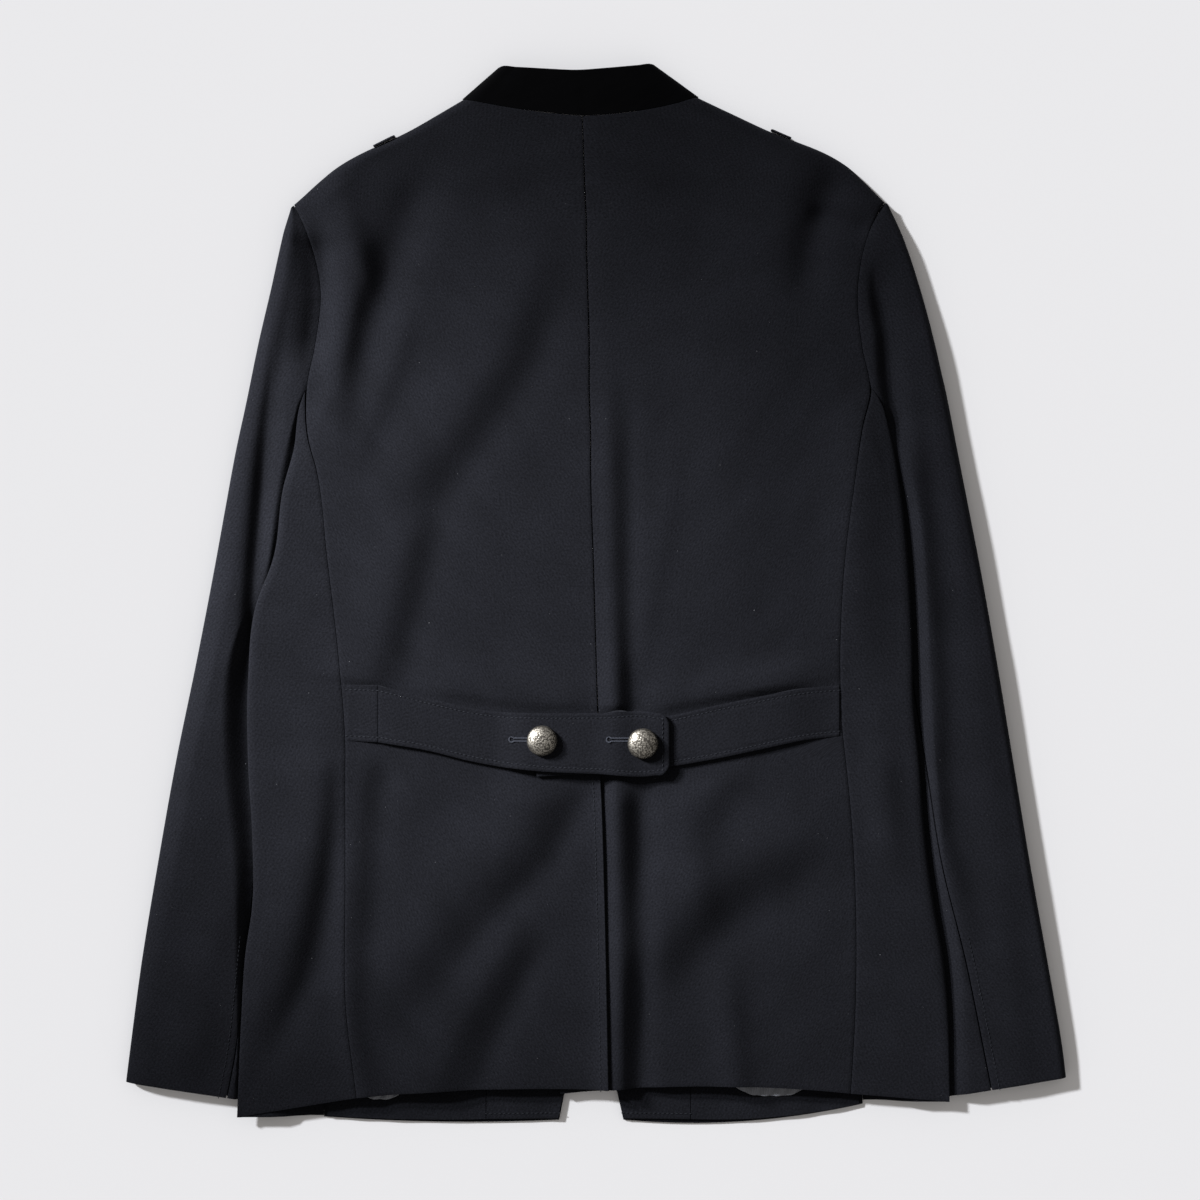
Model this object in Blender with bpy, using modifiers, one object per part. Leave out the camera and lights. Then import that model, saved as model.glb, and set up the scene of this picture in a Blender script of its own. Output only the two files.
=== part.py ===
"""Trooper jacket laid flat on its front, back up: wool panels, velvet stand collar and a buttoned half belt.

The jacket lies on the XY plane with the collar towards +Y. Every table is in millimetres and left is the
wearer's left. Each cloth piece is a thin wall on its own grid of points.
"""
import math
from collections import namedtuple

import bmesh
import bpy
from mathutils import Vector

MM = 0.001

# Cloth thicknesses and the gap that parts two pieces at a seam.
WALL = 2.0
VELVET_WALL = 3.0
BELT_WALL = 3.0
STRAP_WALL = 2.2
FACING_WALL = 1.5
LINING_WALL = 1.0
SEAM = 0.3

# Distances in from a rolled edge at which a panel has its first points, and the spacing after them.
ROLL_STEPS = (0.0, 1.2, 4.0, 9.0, 16.0)
ACROSS = 19.0
ALONG = 24.0

# Heights of the parts that bend round the open inside of the jacket.
FOLD_LOW = 8.8
FOLD_MID = 12.0
FOLD_RUN = 5.0
TUCK_RUN = 24.0
FLOOR_RUN = 52.0
SIDE_SEAM_RUN = 62.0
SEAM_DIP = 0.8

# Rolled edge of the back by height on the page: the height of its rim, the width of its roll and the crown.
Edge = namedtuple("Edge", "y rim roll crown")
EDGES = (
    Edge(372, 3.8, 14, 13.0),
    Edge(305, 3.8, 14, 13.0),
    Edge(285, 6.0, 11, 12.0),
    Edge(262, 11.5, 14, 13.0),
    Edge(221, 12.0, 14, 13.5),
    Edge(147, 11.5, 12, 13.5),
    Edge(104, FOLD_MID, 8, 14.5),
    Edge(78, FOLD_MID, 7, 15.0),
    Edge(-8, FOLD_MID, 7, 15.0),
    Edge(-64, FOLD_MID, 7, 14.5),
    Edge(-122, FOLD_MID, 7, 14.5),
    Edge(-175, FOLD_MID, 7, 15.0),
    Edge(-263, FOLD_MID, 7, 15.0),
    Edge(-400, FOLD_MID, 7, 14.0),
)

# Largest folds of the back and sides: a soft ridge (height over 0) or trough between two points.
Fold = namedtuple("Fold", "x0 y0 x1 y1 width height")
BACK_FOLDS = (
    Fold(-178, 262, -188, 158, 16, 3.6),
    Fold(-140, 258, -172, 165, 18, -2.6),
    Fold(-54, 240, -152, 80, 22, 3.4),
    Fold(-28, 222, -140, 62, 18, -1.6),
    Fold(-140, 50, -170, -44, 16, 2.2),
    Fold(171, 299, 134, 272, 14, -2.2),
    Fold(148, 292, 144, 236, 16, 2.4),
    Fold(28, 278, 30, 225, 26, -1.8),
    Fold(-46, -166, -166, -284, 22, 3.6),
    Fold(-62, -240, -104, -334, 18, 2.2),
    Fold(-168, -160, -168, -280, 13, -1.8),
    Fold(-194, -170, -236, -318, 16, 2.0),
    Fold(98, -146, 42, -276, 22, 3.6),
    Fold(150, -188, 74, -214, 18, 1.8),
    Fold(96, -306, 116, -352, 16, 1.8),
    Fold(10, 145, 20, -370, 7, 1.6),
)
FOLD_END = 0.22
BELT_BAND = (-62.0, -136.0)
BELT_BAND_FADE = 18.0
BELT_BAND_KEEP = 0.2

# Panels from the centre out: the centre line, the outer edge, the sag of the row, the share of the vent
# underlap that it has and the share by which the underlap drops below the other half.
PanelRow = namedtuple("PanelRow", "inner_x inner_y outer_x outer_y bow lap drop", defaults=(0, 0, 0))
BACK_LEFT = (
    (
        PanelRow(-10, 346.6, -96, 356.6, -0.4),
        PanelRow(-9, 318, -134, 336.4),
        PanelRow(-8, 290, -190, 306.2),
        PanelRow(-7, 270, -219.5, 281),
    ),
    (
        PanelRow(-7, 270, -219.5, 281),
        PanelRow(-7, 255, -210, 261),
        PanelRow(-6, 219, -201, 221),
        PanelRow(-5, 180, -205, 180),
        PanelRow(-5, 150, -210, 150),
        PanelRow(-4, 113, -209, 113),
        PanelRow(-4, 90, -203, 90),
        PanelRow(-2, 24, -195, 24),
        PanelRow(0, -45, -187, -45),
        PanelRow(2, -111, -182, -111),
        PanelRow(4, -150, -182, -150),
        PanelRow(6, -215, -182, -215),
        PanelRow(8, -307, -181, -307),
        PanelRow(9, -361.5, -174, -367, 3),
    ),
)
BACK_RIGHT = (
    (
        PanelRow(-10, 346.6, 74, 359.8, -2.4),
        PanelRow(-9, 318, 122, 337),
        PanelRow(-8, 290, 184, 307),
        PanelRow(-7, 270, 209.5, 283),
    ),
    (
        PanelRow(-7, 270, 209.5, 283),
        PanelRow(-7, 255, 199, 264),
        PanelRow(-6, 219, 190, 221),
        PanelRow(-5, 180, 193, 180),
        PanelRow(-5, 147, 199, 147),
        PanelRow(-4, 120, 193, 120),
        PanelRow(-4, 78, 187, 78),
        PanelRow(-2, 22, 180, 22),
        PanelRow(0, -45, 177, -45),
        PanelRow(2, -92, 178, -92),
    ),
    (
        PanelRow(2, -92, 178, -92),
        PanelRow(2.5, -103, 179, -103, 0, 0, 1),
        PanelRow(3, -112, 180, -112, 0, 1, 1),
        PanelRow(4, -150, 184, -150, 0, 1, 1),
        PanelRow(6, -215, 188, -215, 0, 1, 1),
        PanelRow(8, -307, 188, -307, 0, 1, 1),
        PanelRow(9, -361.5, 185, -364, 4, 1, 1),
    ),
)

# Steps out from the centre line of a back panel, above the vent and along its underlap.
CentreStep = namedtuple("CentreStep", "plain vent")
LEFT_CENTRE = (CentreStep(0.0, 0.0),)
RIGHT_CENTRE = (
    CentreStep(0.0, -35.0),
    CentreStep(3.0, -18.0),
    CentreStep(6.0, -3.0),
    CentreStep(10.0, 2.0),
    CentreStep(15.0, 14.0),
)
VENT_DROP = 3.3
VENT_TOP = -85.0
VENT_LAP_FROM = 0.5
VENT_RISE_START = 1.0
VENT_RISE_RUN = 10.0

# Side panels: where a row meets the seam with the back, the side fold, and the share of the run under it.
SideRow = namedtuple("SideRow", "seam_y edge_x edge_y under", defaults=(1.0,))
SIDE_LEFT = (
    SideRow(141, -214.5, 139.5, 0.25),
    SideRow(106, -220, 103, 0.7),
    SideRow(78, -227, 78),
    SideRow(24, -235, 24),
    SideRow(-8, -247, -8),
    SideRow(-64, -253, -64),
    SideRow(-122, -253, -122),
    SideRow(-175, -250, -175),
    SideRow(-228, -250, -228),
    SideRow(-263, -255, -263),
    SideRow(-312, -258, -312),
    SideRow(-367, -261, -380),
)
SIDE_RIGHT = (
    SideRow(142, 206.5, 141, 0.35),
    SideRow(120, 213.5, 117, 0.7),
    SideRow(78, 221, 78),
    SideRow(22, 227, 22),
    SideRow(-34, 230, -34),
    SideRow(-82, 231, -82),
    SideRow(-122, 235, -122),
    SideRow(-175, 239, -175),
    SideRow(-228, 246, -228),
    SideRow(-263, 252, -263),
    SideRow(-307, 256, -307),
    SideRow(-364, 257, -370),
)
SIDE_COLUMNS = 3
UNDERARM_EASE = 1.2
UNDER_STEPS = (1.2, 4.0, 12.0, TUCK_RUN, 33.0, 43.0, FLOOR_RUN, SIDE_SEAM_RUN)

# Front panels, flat on the surface: neck and shoulder, then armhole; below it they follow the side panels.
FRONT_LEFT = (
    (
        PanelRow(-19, 282, -95, 354, -22),
        PanelRow(-19, 272, -134, 335),
        PanelRow(-19, 262, -190, 305),
        PanelRow(-19, 254, -216, 279),
    ),
    (
        PanelRow(-19, 254, -216, 279),
        PanelRow(-19, 244, -208.5, 261),
        PanelRow(-19, 217, -199.8, 221),
        PanelRow(-19, 180, -204, 180),
        PanelRow(-19, 150, -208, 152),
    ),
)
FRONT_RIGHT = (
    (
        PanelRow(11, 282, 72, 356, -22),
        PanelRow(11, 272, 122, 335),
        PanelRow(11, 262, 184, 305),
        PanelRow(11, 254, 206, 281),
    ),
    (
        PanelRow(11, 254, 206, 281),
        PanelRow(11, 245, 197.5, 264),
        PanelRow(11, 217, 188.8, 221),
        PanelRow(11, 180, 192, 180),
        PanelRow(11, 150, 196, 155),
    ),
)
FRONT_LEFT_HEM = PanelRow(-27, -384.5, -199, -380, -3.9)
FRONT_RIGHT_HEM = PanelRow(20, -384.5, 195, -370, -6)
FRONT_COLUMNS = 5
FRONT_ALONG = 60.0

# Inside of the front hem: facing, turned-up hem and lining, each a strip between two heights.
InsideStrip = namedtuple("InsideStrip", "name x0 x1 low0 low1 high wall")
INSIDE_STRIPS = (
    InsideStrip("front_facing_left", -80, -29, -384, -383.5, -310, FACING_WALL),
    InsideStrip("front_facing_right", 22, 69, -383.5, -384, -310, FACING_WALL),
    InsideStrip("front_hem_left", -196, -80.4, -381, -383.5, -369.5, FACING_WALL),
    InsideStrip("front_hem_right", 69.4, 192, -384, -373, -361, FACING_WALL),
    InsideStrip("front_lining_left", -190, -80.4, -369, -369, -318, LINING_WALL),
    InsideStrip("front_lining_right", 69.4, 184, -360.5, -360.5, -318, LINING_WALL),
)
STRIP_COLUMNS = 5

# Sleeves: the outer fold, the inner edge, the back seam on the upper side, how far the under sleeve wraps
# over the inner edge, the tuck under the body, and the heights where it leaves the body and at its crown.
SleeveRow = namedtuple("SleeveRow", "outer_x outer_y inner_x inner_y seam_x wrap tuck start crown")
SLEEVE_LEFT = (
    SleeveRow(-223.6, 277.5, -218.7, 278.6, -218.7, 0, 0, 6.8, 7.6),
    SleeveRow(-228, 261, -210.5, 261, -210.5, 0, 0, 11.0, 12.5),
    SleeveRow(-237, 221, -201.5, 221, -201.5, 0, 0, 12.0, 14.0),
    SleeveRow(-246.5, 180, -205.5, 180, -205.5, 0, 0, 11.6, 14.5),
    SleeveRow(-252.6, 150, -210.5, 150, -210.5, 0, 6, 8.4, 14.5),
    SleeveRow(-262, 106, -207, 106, -216, 0.3, 16, 8.2, 14.5),
    SleeveRow(-270.5, 60, -213, 60, -222, 1, 18, 8.1, 14.8),
    SleeveRow(-277, 24, -220, 24, -229, 1, 20, 8.0, 15.0),
    SleeveRow(-291, -49, -234, -49, -241, 1, 22, 8.0, 13.6),
    SleeveRow(-306, -122, -236, -122, -246, 1, 20, 8.0, 13.0),
    SleeveRow(-319, -195, -233, -195, -249, 1, 20, 8.0, 13.0),
    SleeveRow(-331, -268, -237, -268, -255, 1, 20, 8.0, 13.4),
    SleeveRow(-339.5, -332, -243, -338, -263, 1, 19, 8.0, 13.0),
    SleeveRow(-342.5, -356, -244, -371, -269, 1, 19, 8.0, 12.0),
)
SLEEVE_RIGHT = (
    SleeveRow(213.6, 279.6, 208.7, 280.8, 208.7, 0, 0, 6.8, 7.6),
    SleeveRow(221.8, 264, 199.5, 264, 199.5, 0, 0, 11.0, 12.5),
    SleeveRow(236.5, 221, 190.5, 221, 190.5, 0, 0, 12.0, 14.0),
    SleeveRow(247.4, 180, 193.5, 180, 193.5, 0, 0, 11.6, 14.5),
    SleeveRow(255, 147, 199.5, 147, 199.5, 0, 8, 8.2, 14.5),
    SleeveRow(263, 106, 202, 106, 211, 0.3, 24, 8.2, 14.5),
    SleeveRow(272, 60, 207, 60, 216.5, 1, 26, 8.1, 14.8),
    SleeveRow(279, 24, 212, 24, 221, 1, 28, 8.0, 15.0),
    SleeveRow(292, -49, 214, -49, 229, 1, 34, 8.0, 15.0),
    SleeveRow(304, -122, 217, -122, 240, 1, 32, 8.0, 15.0),
    SleeveRow(316, -195, 223, -195, 251, 1, 26, 8.0, 15.0),
    SleeveRow(329, -268, 235, -268, 269, 1, 24, 8.0, 14.5),
    SleeveRow(340, -332, 241, -340, 283, 1, 22, 8.0, 13.0),
    SleeveRow(342.5, -352.5, 242, -369, 288, 1, 22, 8.0, 12.0),
)
SLEEVE_ALONG = 32.0
SLEEVE_TOP_COLUMNS = 5
SLEEVE_RISE = 20.0
SLEEVE_RIM = 6.5
SLEEVE_TOP_ROLL = 13.0
SLEEVE_LOW_ROLL = 9.0
SLEEVE_LOW_SHARE = 0.4
SLEEVE_LOW_STEPS = (0.1, 0.4, 1.0)
FRONT_SEAM_RUN = 12.0
FRONT_SEAM_SHARE = 0.7
UNDER_COLUMNS = 3
CURL_RADIUS = 4.0
CURL_ANGLES = (30, 60, 90, 120, 150, 180)
CURL_FLAT_STEP = 1.6
FLAP_COLUMNS = 4
BACK_SEAM = 0.8

# Stand collar as a band round the neck, from the left front end over the back to the right front end.
CollarRow = namedtuple("CollarRow", "neck_x neck_y top_x top_y neck_z top_z")
COLLAR = (
    CollarRow(-19, 284, -19, 322, 0, 0),
    CollarRow(-62, 306, -48, 345, 0, 0),
    CollarRow(-89, 345, -64, 377, 0, 0),
    CollarRow(-95.5, 357.6, -71, 383, 3, 3),
    CollarRow(-97.8, 359.0, -72.5, 384, 7, 8),
    CollarRow(-94, 358.0, -70, 384.3, 10.5, 13),
    CollarRow(-80, 355.2, -58, 383.5, 13, 16.5),
    CollarRow(-41, 350.5, -36, 382, 14, 18),
    CollarRow(-11, 347.3, -15, 381, 14, 18.5),
    CollarRow(22, 350.1, 6, 382.5, 14, 18),
    CollarRow(56, 356.3, 31, 385, 13, 16.5),
    CollarRow(70, 360, 41, 386.3, 10.5, 13),
    CollarRow(74.4, 361.6, 43.5, 386.4, 7, 8),
    CollarRow(72.5, 360, 42, 385, 3, 3),
    CollarRow(67, 348, 38, 378, 0, 0),
    CollarRow(42, 306, 28, 345, 0, 0),
    CollarRow(11, 284, 11, 322, 0, 0),
)
COLLAR_HEIGHT_STEPS = 4
COLLAR_ALONG = 16.0

# Shoulder straps: the end of each that shows beyond the shoulder edge, between these places across the page.
STRAP_LEFT = (-162.0, -146.0)
STRAP_RIGHT = (127.0, 142.0)
STRAP_STEPS = 3
STRAP_ANGLES = (0, 15, 30, 45)
STRAP_CLEAR = 0.6

# Half belt: the upper and lower edge of each tab, and the height added where the left one lies on the right.
BELT_LAP = 3.4
BELT_LAP_START = -75.0
BELT_LAP_RUN = 28.0
BeltRow = namedtuple("BeltRow", "x high low")
BELT_LEFT_END = (
    BeltRow(-181, -66.5, -107.3),
    BeltRow(-158.4, -67.2, -108.3),
)
BELT_LEFT = (
    BeltRow(-158, -67.2, -108.3),
    BeltRow(-121, -76.5, -114.5),
    BeltRow(-93, -83, -121.5),
    BeltRow(-72, -86, -125.5),
    BeltRow(-47, -87, -128.5),
    BeltRow(1, -87, -131),
    BeltRow(43, -87, -132),
    BeltRow(50, -89, -130.5),
    BeltRow(53, -94, -126),
)
BELT_RIGHT = (
    BeltRow(-43, -91, -133),
    BeltRow(0, -91, -131),
    BeltRow(53, -89, -126),
    BeltRow(85, -82, -120.5),
    BeltRow(119, -75, -113.5),
    BeltRow(153, -69, -106.5),
    BeltRow(176.5, -67, -104),
)
BELT_ALONG = 16.0
BELT_COLUMNS = 4
BELT_CLEAR = 0.5

# Domed belt buttons, from the top of the dome down to the rim and under to the shank.
Button = namedtuple("Button", "name x y")
BUTTONS = (Button("belt_button_left", -39, -107), Button("belt_button_right", 34, -109))
BUTTON_RADIUS = 11.0
BUTTON_HEIGHT = 7.5
BUTTON_RIM = 1.6
BUTTON_FOOT_RADIUS = 10.1
BUTTON_SIDES = 24
BUTTON_DOME_STEPS = 5
BUTTON_SEAT_ANGLES = range(0, 360, 45)
MERGE_DISTANCE = 0.00001

# Colours as linear values with the roughness and metallic value of each finish.
SHARP_ANGLE = 40.0
Finish = namedtuple("Finish", "red green blue roughness metallic")
WOOL = Finish(0.011, 0.013, 0.018, 0.9, 0.0)
VELVET = Finish(0.003, 0.003, 0.004, 0.95, 0.0)
SATIN = Finish(0.35, 0.36, 0.38, 0.35, 0.0)
SILVER = Finish(0.42, 0.40, 0.38, 0.38, 1.0)


def clear_scene():
    """Remove every object that the scene holds."""
    for old in list(bpy.data.objects):
        bpy.data.objects.remove(old, do_unlink=True)


def row_gap(first, second):
    """Distance between two rows of a table, from whichever of their points moves the most."""
    if hasattr(first, "outer_x"):
        inner = math.hypot(first.inner_x - second.inner_x, first.inner_y - second.inner_y)
        outer = math.hypot(first.outer_x - second.outer_x, first.outer_y - second.outer_y)
        return max(inner, outer)
    if hasattr(first, "neck_x"):
        neck = math.hypot(first.neck_x - second.neck_x, first.neck_y - second.neck_y)
        return max(neck, abs(first.neck_z - second.neck_z))
    if hasattr(first, "edge_y"):
        return abs(first.edge_y - second.edge_y)
    return abs(first.x - second.x)


def row_slopes(table, gaps):
    """Slope of every column at every row, for a smooth curve through the rows."""
    slopes = []
    for index, row in enumerate(table):
        if index == 0:
            ahead = zip(table[0], table[1])
            slopes.append([(b - a) / gaps[0] for a, b in ahead])
        elif index == len(table) - 1:
            behind = zip(table[-2], table[-1])
            slopes.append([(b - a) / gaps[-1] for a, b in behind])
        else:
            before, after = gaps[index - 1], gaps[index]
            share = before / (before + after)
            triples = zip(table[index - 1], row, table[index + 1])
            slopes.append([(1 - share) * (b - a) / before + share * (c - b) / after for a, b, c in triples])
    return slopes


def between_rows(table, gaps, slopes, index, part):
    """One row at the given part of the way from row index to the next, on a cubic curve in every column."""
    gap = gaps[index]
    ease = part * part * (3 - 2 * part)
    leave = part * (1 - part) ** 2
    arrive = part * part * (part - 1)
    columns = zip(table[index], table[index + 1], slopes[index], slopes[index + 1])
    values = [a + (b - a) * ease + gap * (sa * leave + sb * arrive) for a, b, sa, sb in columns]
    return type(table[0])(*values)


def fill_rows(table, spacing):
    """Rows about one spacing apart, smooth through all the rows of a table."""
    gaps = [row_gap(a, b) for a, b in zip(table, table[1:])]
    slopes = row_slopes(table, gaps)
    filled = [table[0]]
    for index, gap in enumerate(gaps):
        count = max(1, round(gap / spacing))
        for step in range(1, count + 1):
            filled.append(between_rows(table, gaps, slopes, index, step / count))
    return filled


def fill_stretches(stretches, spacing):
    """Rows of a panel whose outline has a corner between each stretch and the next."""
    filled = []
    for table in stretches:
        rows = fill_rows(table, spacing)
        filled.extend(rows if not filled else rows[1:])
    return filled


def edge_at(y):
    """Rim, roll and crown of the back at one height on the page."""
    gaps = [a.y - b.y for a, b in zip(EDGES, EDGES[1:])]
    y = min(max(y, EDGES[-1].y), EDGES[0].y)
    index = 0
    while index < len(gaps) - 1 and y < EDGES[index + 1].y:
        index += 1
    return between_rows(EDGES, gaps, row_slopes(EDGES, gaps), index, (EDGES[index].y - y) / gaps[index])


def outline_points(panel, side_table):
    """Outer edge of one half of the back from neck to hem: shoulder, armhole and then the side fold."""
    fold = [(row.edge_x, row.edge_y) for row in fill_rows(side_table, ALONG)]
    above = [(row.outer_x, row.outer_y) for row in fill_stretches(panel, ALONG)]
    return [point for point in above if point[1] > fold[0][1] + ALONG / 2] + fold


def outline_x(points, y):
    """Place of an outer edge at one height on the page."""
    index = 0
    while index < len(points) - 2 and y < points[index + 1][1]:
        index += 1
    (x0, y0), (x1, y1) = points[index], points[index + 1]
    return x0 + (x1 - x0) * (y0 - y) / (y0 - y1)


def smooth_step(value):
    """Ease from 0 to 1 with level ends."""
    value = min(max(value, 0.0), 1.0)
    return value * value * (3 - 2 * value)


def quarter_round(distance, roll):
    """Rise of a rolled edge, 0 at the edge and 1 from the end of the roll."""
    part = min(max(distance / roll, 0.0), 1.0)
    return math.sqrt(1 - (1 - part) ** 2)


def fold_height(folds, x, y):
    """Height that the soft ridges and troughs add at one point."""
    total = 0.0
    for fold in folds:
        run_x, run_y = fold.x1 - fold.x0, fold.y1 - fold.y0
        length = math.hypot(run_x, run_y)
        along = ((x - fold.x0) * run_x + (y - fold.y0) * run_y) / length ** 2
        across = ((x - fold.x0) * run_y - (y - fold.y0) * run_x) / length
        start = smooth_step((along + FOLD_END) / (2 * FOLD_END))
        end = smooth_step((1 + FOLD_END - along) / (2 * FOLD_END))
        total += fold.height * start * end * math.exp(-(across / fold.width) ** 2)
    return total


def belt_calm(y):
    """Share of the folds that is left where the half belt holds the cloth down."""
    above = smooth_step((y - BELT_BAND[0]) / BELT_BAND_FADE)
    below = smooth_step((BELT_BAND[1] - y) / BELT_BAND_FADE)
    return BELT_BAND_KEEP + (1 - BELT_BAND_KEEP) * max(above, below)


OUTLINE_LEFT = outline_points(BACK_LEFT, SIDE_LEFT)
OUTLINE_RIGHT = outline_points(BACK_RIGHT, SIDE_RIGHT)


def back_height(x, y):
    """Height of the outer face of the back and the upper side panels."""
    edge = edge_at(y)
    distance = min(x - outline_x(OUTLINE_LEFT, y), outline_x(OUTLINE_RIGHT, y) - x)
    rolled = quarter_round(distance, edge.roll)
    folded = fold_height(BACK_FOLDS, x, y) * belt_calm(y) * smooth_step(distance / (2 * edge.roll))
    return edge.rim + (edge.crown - edge.rim) * rolled + folded


def finish_material(name, finish):
    """Plain material of one finish."""
    material = bpy.data.materials.new(name)
    material.use_nodes = True
    shader = material.node_tree.nodes["Principled BSDF"]
    shader.inputs["Base Color"].default_value = (finish.red, finish.green, finish.blue, 1)
    shader.inputs["Roughness"].default_value = finish.roughness
    shader.inputs["Metallic"].default_value = finish.metallic
    return material


def add_object(collection, name, mesh, finish):
    """Put a mesh in the collection as a smooth-shaded piece with its own material."""
    piece = bpy.data.objects.new(name, mesh)
    mesh.materials.append(finish_material(name + "_finish", finish))
    mesh.shade_smooth()
    mesh.set_sharp_from_angle(angle=math.radians(SHARP_ANGLE))
    collection.objects.link(piece)
    return piece


def add_sheet(collection, name, rows, facing, probe, wall, finish):
    """Cloth wall on a grid of points, given as the outer face.

    The face at column probe of the middle row looks along facing, and the wall grows to the other side of it.
    """
    columns = len(rows[0])
    shell = bmesh.new()
    bmesh.ops.create_grid(shell, x_segments=columns - 1, y_segments=len(rows) - 1, size=1)
    shell.verts.ensure_lookup_table()
    for row_index, row in enumerate(rows):
        for column, point in enumerate(row):
            shell.verts[row_index * columns + column].co = Vector(point) * MM
    shell.faces.ensure_lookup_table()
    probe_face = shell.faces[(len(rows) - 1) // 2 * (columns - 1) + probe]
    probe_face.normal_update()
    if probe_face.normal.dot(Vector(facing)) < 0:
        bmesh.ops.reverse_faces(shell, faces=shell.faces[:])
    shell.normal_update()
    mesh = bpy.data.meshes.new(name)
    shell.to_mesh(mesh)
    shell.free()
    piece = add_object(collection, name, mesh, finish)
    solidify = piece.modifiers.new("wall", "SOLIDIFY")
    solidify.thickness = wall * MM
    solidify.offset = -1
    solidify.use_quality_normals = True
    return piece


def roll_steps(width, coarse):
    """Distances from a rolled edge to the far side of a panel: close at the roll, then even."""
    scale = min(1.0, width / (2 * ROLL_STEPS[-1]))
    near = [step * scale for step in ROLL_STEPS]
    rest = width - near[-1]
    return near + [near[-1] + rest * index / coarse for index in range(1, coarse + 1)]


def back_row(row, side, coarse, centre):
    """Points of one row of a back panel, from its outer edge to the centre seam or the underlap's end."""
    width = abs(row.inner_x - row.outer_x)
    offsets = [width - step for step in roll_steps(width - centre[-1].plain, coarse)[:-1]]
    offsets += [step.plain + (step.vent - step.plain) * row.lap for step in reversed(centre)]
    points = []
    for offset in offsets:
        share = 1 - offset / width
        least = SEAM / 2 if row.lap < VENT_LAP_FROM else offset
        x = row.inner_x + side * max(offset, least)
        y = row.inner_y + (row.outer_y - row.inner_y) * (1 - share) + 4 * row.bow * share * (1 - share)
        z = back_height(x, y)
        z -= row.drop * VENT_DROP * (1 - smooth_step((offset - VENT_RISE_START) / VENT_RISE_RUN))
        if offset == 0 and y > VENT_TOP:
            z -= SEAM_DIP
        points.append((x, y, z))
    return points


def add_back(collection, name, table, side, centre):
    """One back panel; side is -1 on the left and 1 on the right, and centre its steps at the centre seam."""
    filled = fill_stretches(table, ALONG)
    widest = max(abs(row.inner_x - row.outer_x) for row in filled)
    coarse = round(widest / ACROSS)
    rows = [back_row(row, side, coarse, centre) for row in filled]
    return add_sheet(collection, name, rows, (0, 0, 1), coarse, WALL, WOOL)


def under_height(distance):
    """Height of the lower face of a side panel, by the distance in from the side fold."""
    turned = FOLD_MID - (FOLD_MID - FOLD_LOW) * quarter_round(distance, FOLD_RUN)
    return turned * (1 - smooth_step((distance - TUCK_RUN) / (FLOOR_RUN - TUCK_RUN)))


def side_row(row, side, seam_x):
    """Points of one row of a side panel: over the top to the side fold, then under to the front seam."""
    ease = SEAM + UNDERARM_EASE * (1 - row.under)
    width = abs(row.edge_x - seam_x) - ease
    points = []
    for step in reversed(roll_steps(width, SIDE_COLUMNS)):
        share = step / (width + ease)
        x = row.edge_x - side * step
        y = row.edge_y + (row.seam_y - row.edge_y) * share
        points.append((x, y, back_height(x, y)))
    points[0] = (points[0][0], points[0][1], points[0][2] - SEAM_DIP)
    for step in UNDER_STEPS:
        points.append((row.edge_x - side * step * row.under, row.edge_y, under_height(step)))
    return points


def add_side(collection, name, table, panel, side):
    """One side panel, sewn to a back panel and folded along the side of the jacket."""
    seam = [(row.outer_x, row.outer_y) for row in fill_stretches(panel, ALONG)]
    rows = [side_row(row, side, outline_x(seam, row.seam_y)) for row in fill_rows(table, ALONG)]
    fold_column = SIDE_COLUMNS + len(ROLL_STEPS) - 2
    return add_sheet(collection, name, rows, (side, 0, 0), fold_column, WALL, WOOL)


def front_rows(table, hem, side_table, side):
    """Rows of a front panel: neck to armhole from its own table, then level with those of the side panel."""
    rows = fill_stretches(table, FRONT_ALONG)
    inner_x = table[-1][-1].inner_x
    fold = fill_rows(side_table, ALONG)
    for row in fold[:-1]:
        outer_x = row.edge_x - side * (SIDE_SEAM_RUN * row.under + SEAM)
        rows.append(PanelRow(inner_x, row.edge_y, outer_x, row.edge_y))
    rows.append(hem._replace(outer_x=fold[-1].edge_x - side * (SIDE_SEAM_RUN + SEAM)))
    return rows


def add_front(collection, name, rows):
    """One front panel, face down and flat on the surface; the given face is the lower one."""
    grid = []
    for row in rows:
        points = []
        for column in range(FRONT_COLUMNS + 1):
            share = column / FRONT_COLUMNS
            x = row.inner_x + (row.outer_x - row.inner_x) * share
            y = row.inner_y + (row.outer_y - row.inner_y) * share + 4 * row.bow * share * (1 - share)
            points.append((x, y, 0))
        grid.append(points)
    return add_sheet(collection, name, grid, (0, 0, -1), 0, WALL, WOOL)


def add_inside_strip(collection, strip):
    """Facing, turned-up hem or lining that lies on the inside of a front and shows below the back hem."""
    finish = SATIN if "lining" in strip.name else WOOL
    rows = []
    for level in (0, 1):
        points = []
        for column in range(STRIP_COLUMNS + 1):
            share = column / STRIP_COLUMNS
            x = strip.x0 + (strip.x1 - strip.x0) * share
            low = strip.low0 + (strip.low1 - strip.low0) * share
            points.append((x, low + (strip.high - low) * level, WALL + SEAM))
        rows.append(points)
    return add_sheet(collection, strip.name, rows, (0, 0, -1), 0, strip.wall, finish)


def sleeve_top(row, width, step):
    """Height of the upper face of a sleeve, by the distance in from its outer fold."""
    risen = smooth_step((width - step - row.tuck) / min(SLEEVE_RISE, width / 2))
    level = row.start + (row.crown - row.start) * risen
    return SLEEVE_RIM + (level - SLEEVE_RIM) * quarter_round(step, min(SLEEVE_TOP_ROLL, width / 2))


def sleeve_point(row, side, width, step, z):
    """Point of a sleeve row at one distance in from the outer fold."""
    share = step / width
    return (row.outer_x - side * step, row.outer_y + (row.inner_y - row.outer_y) * share, z)


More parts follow.
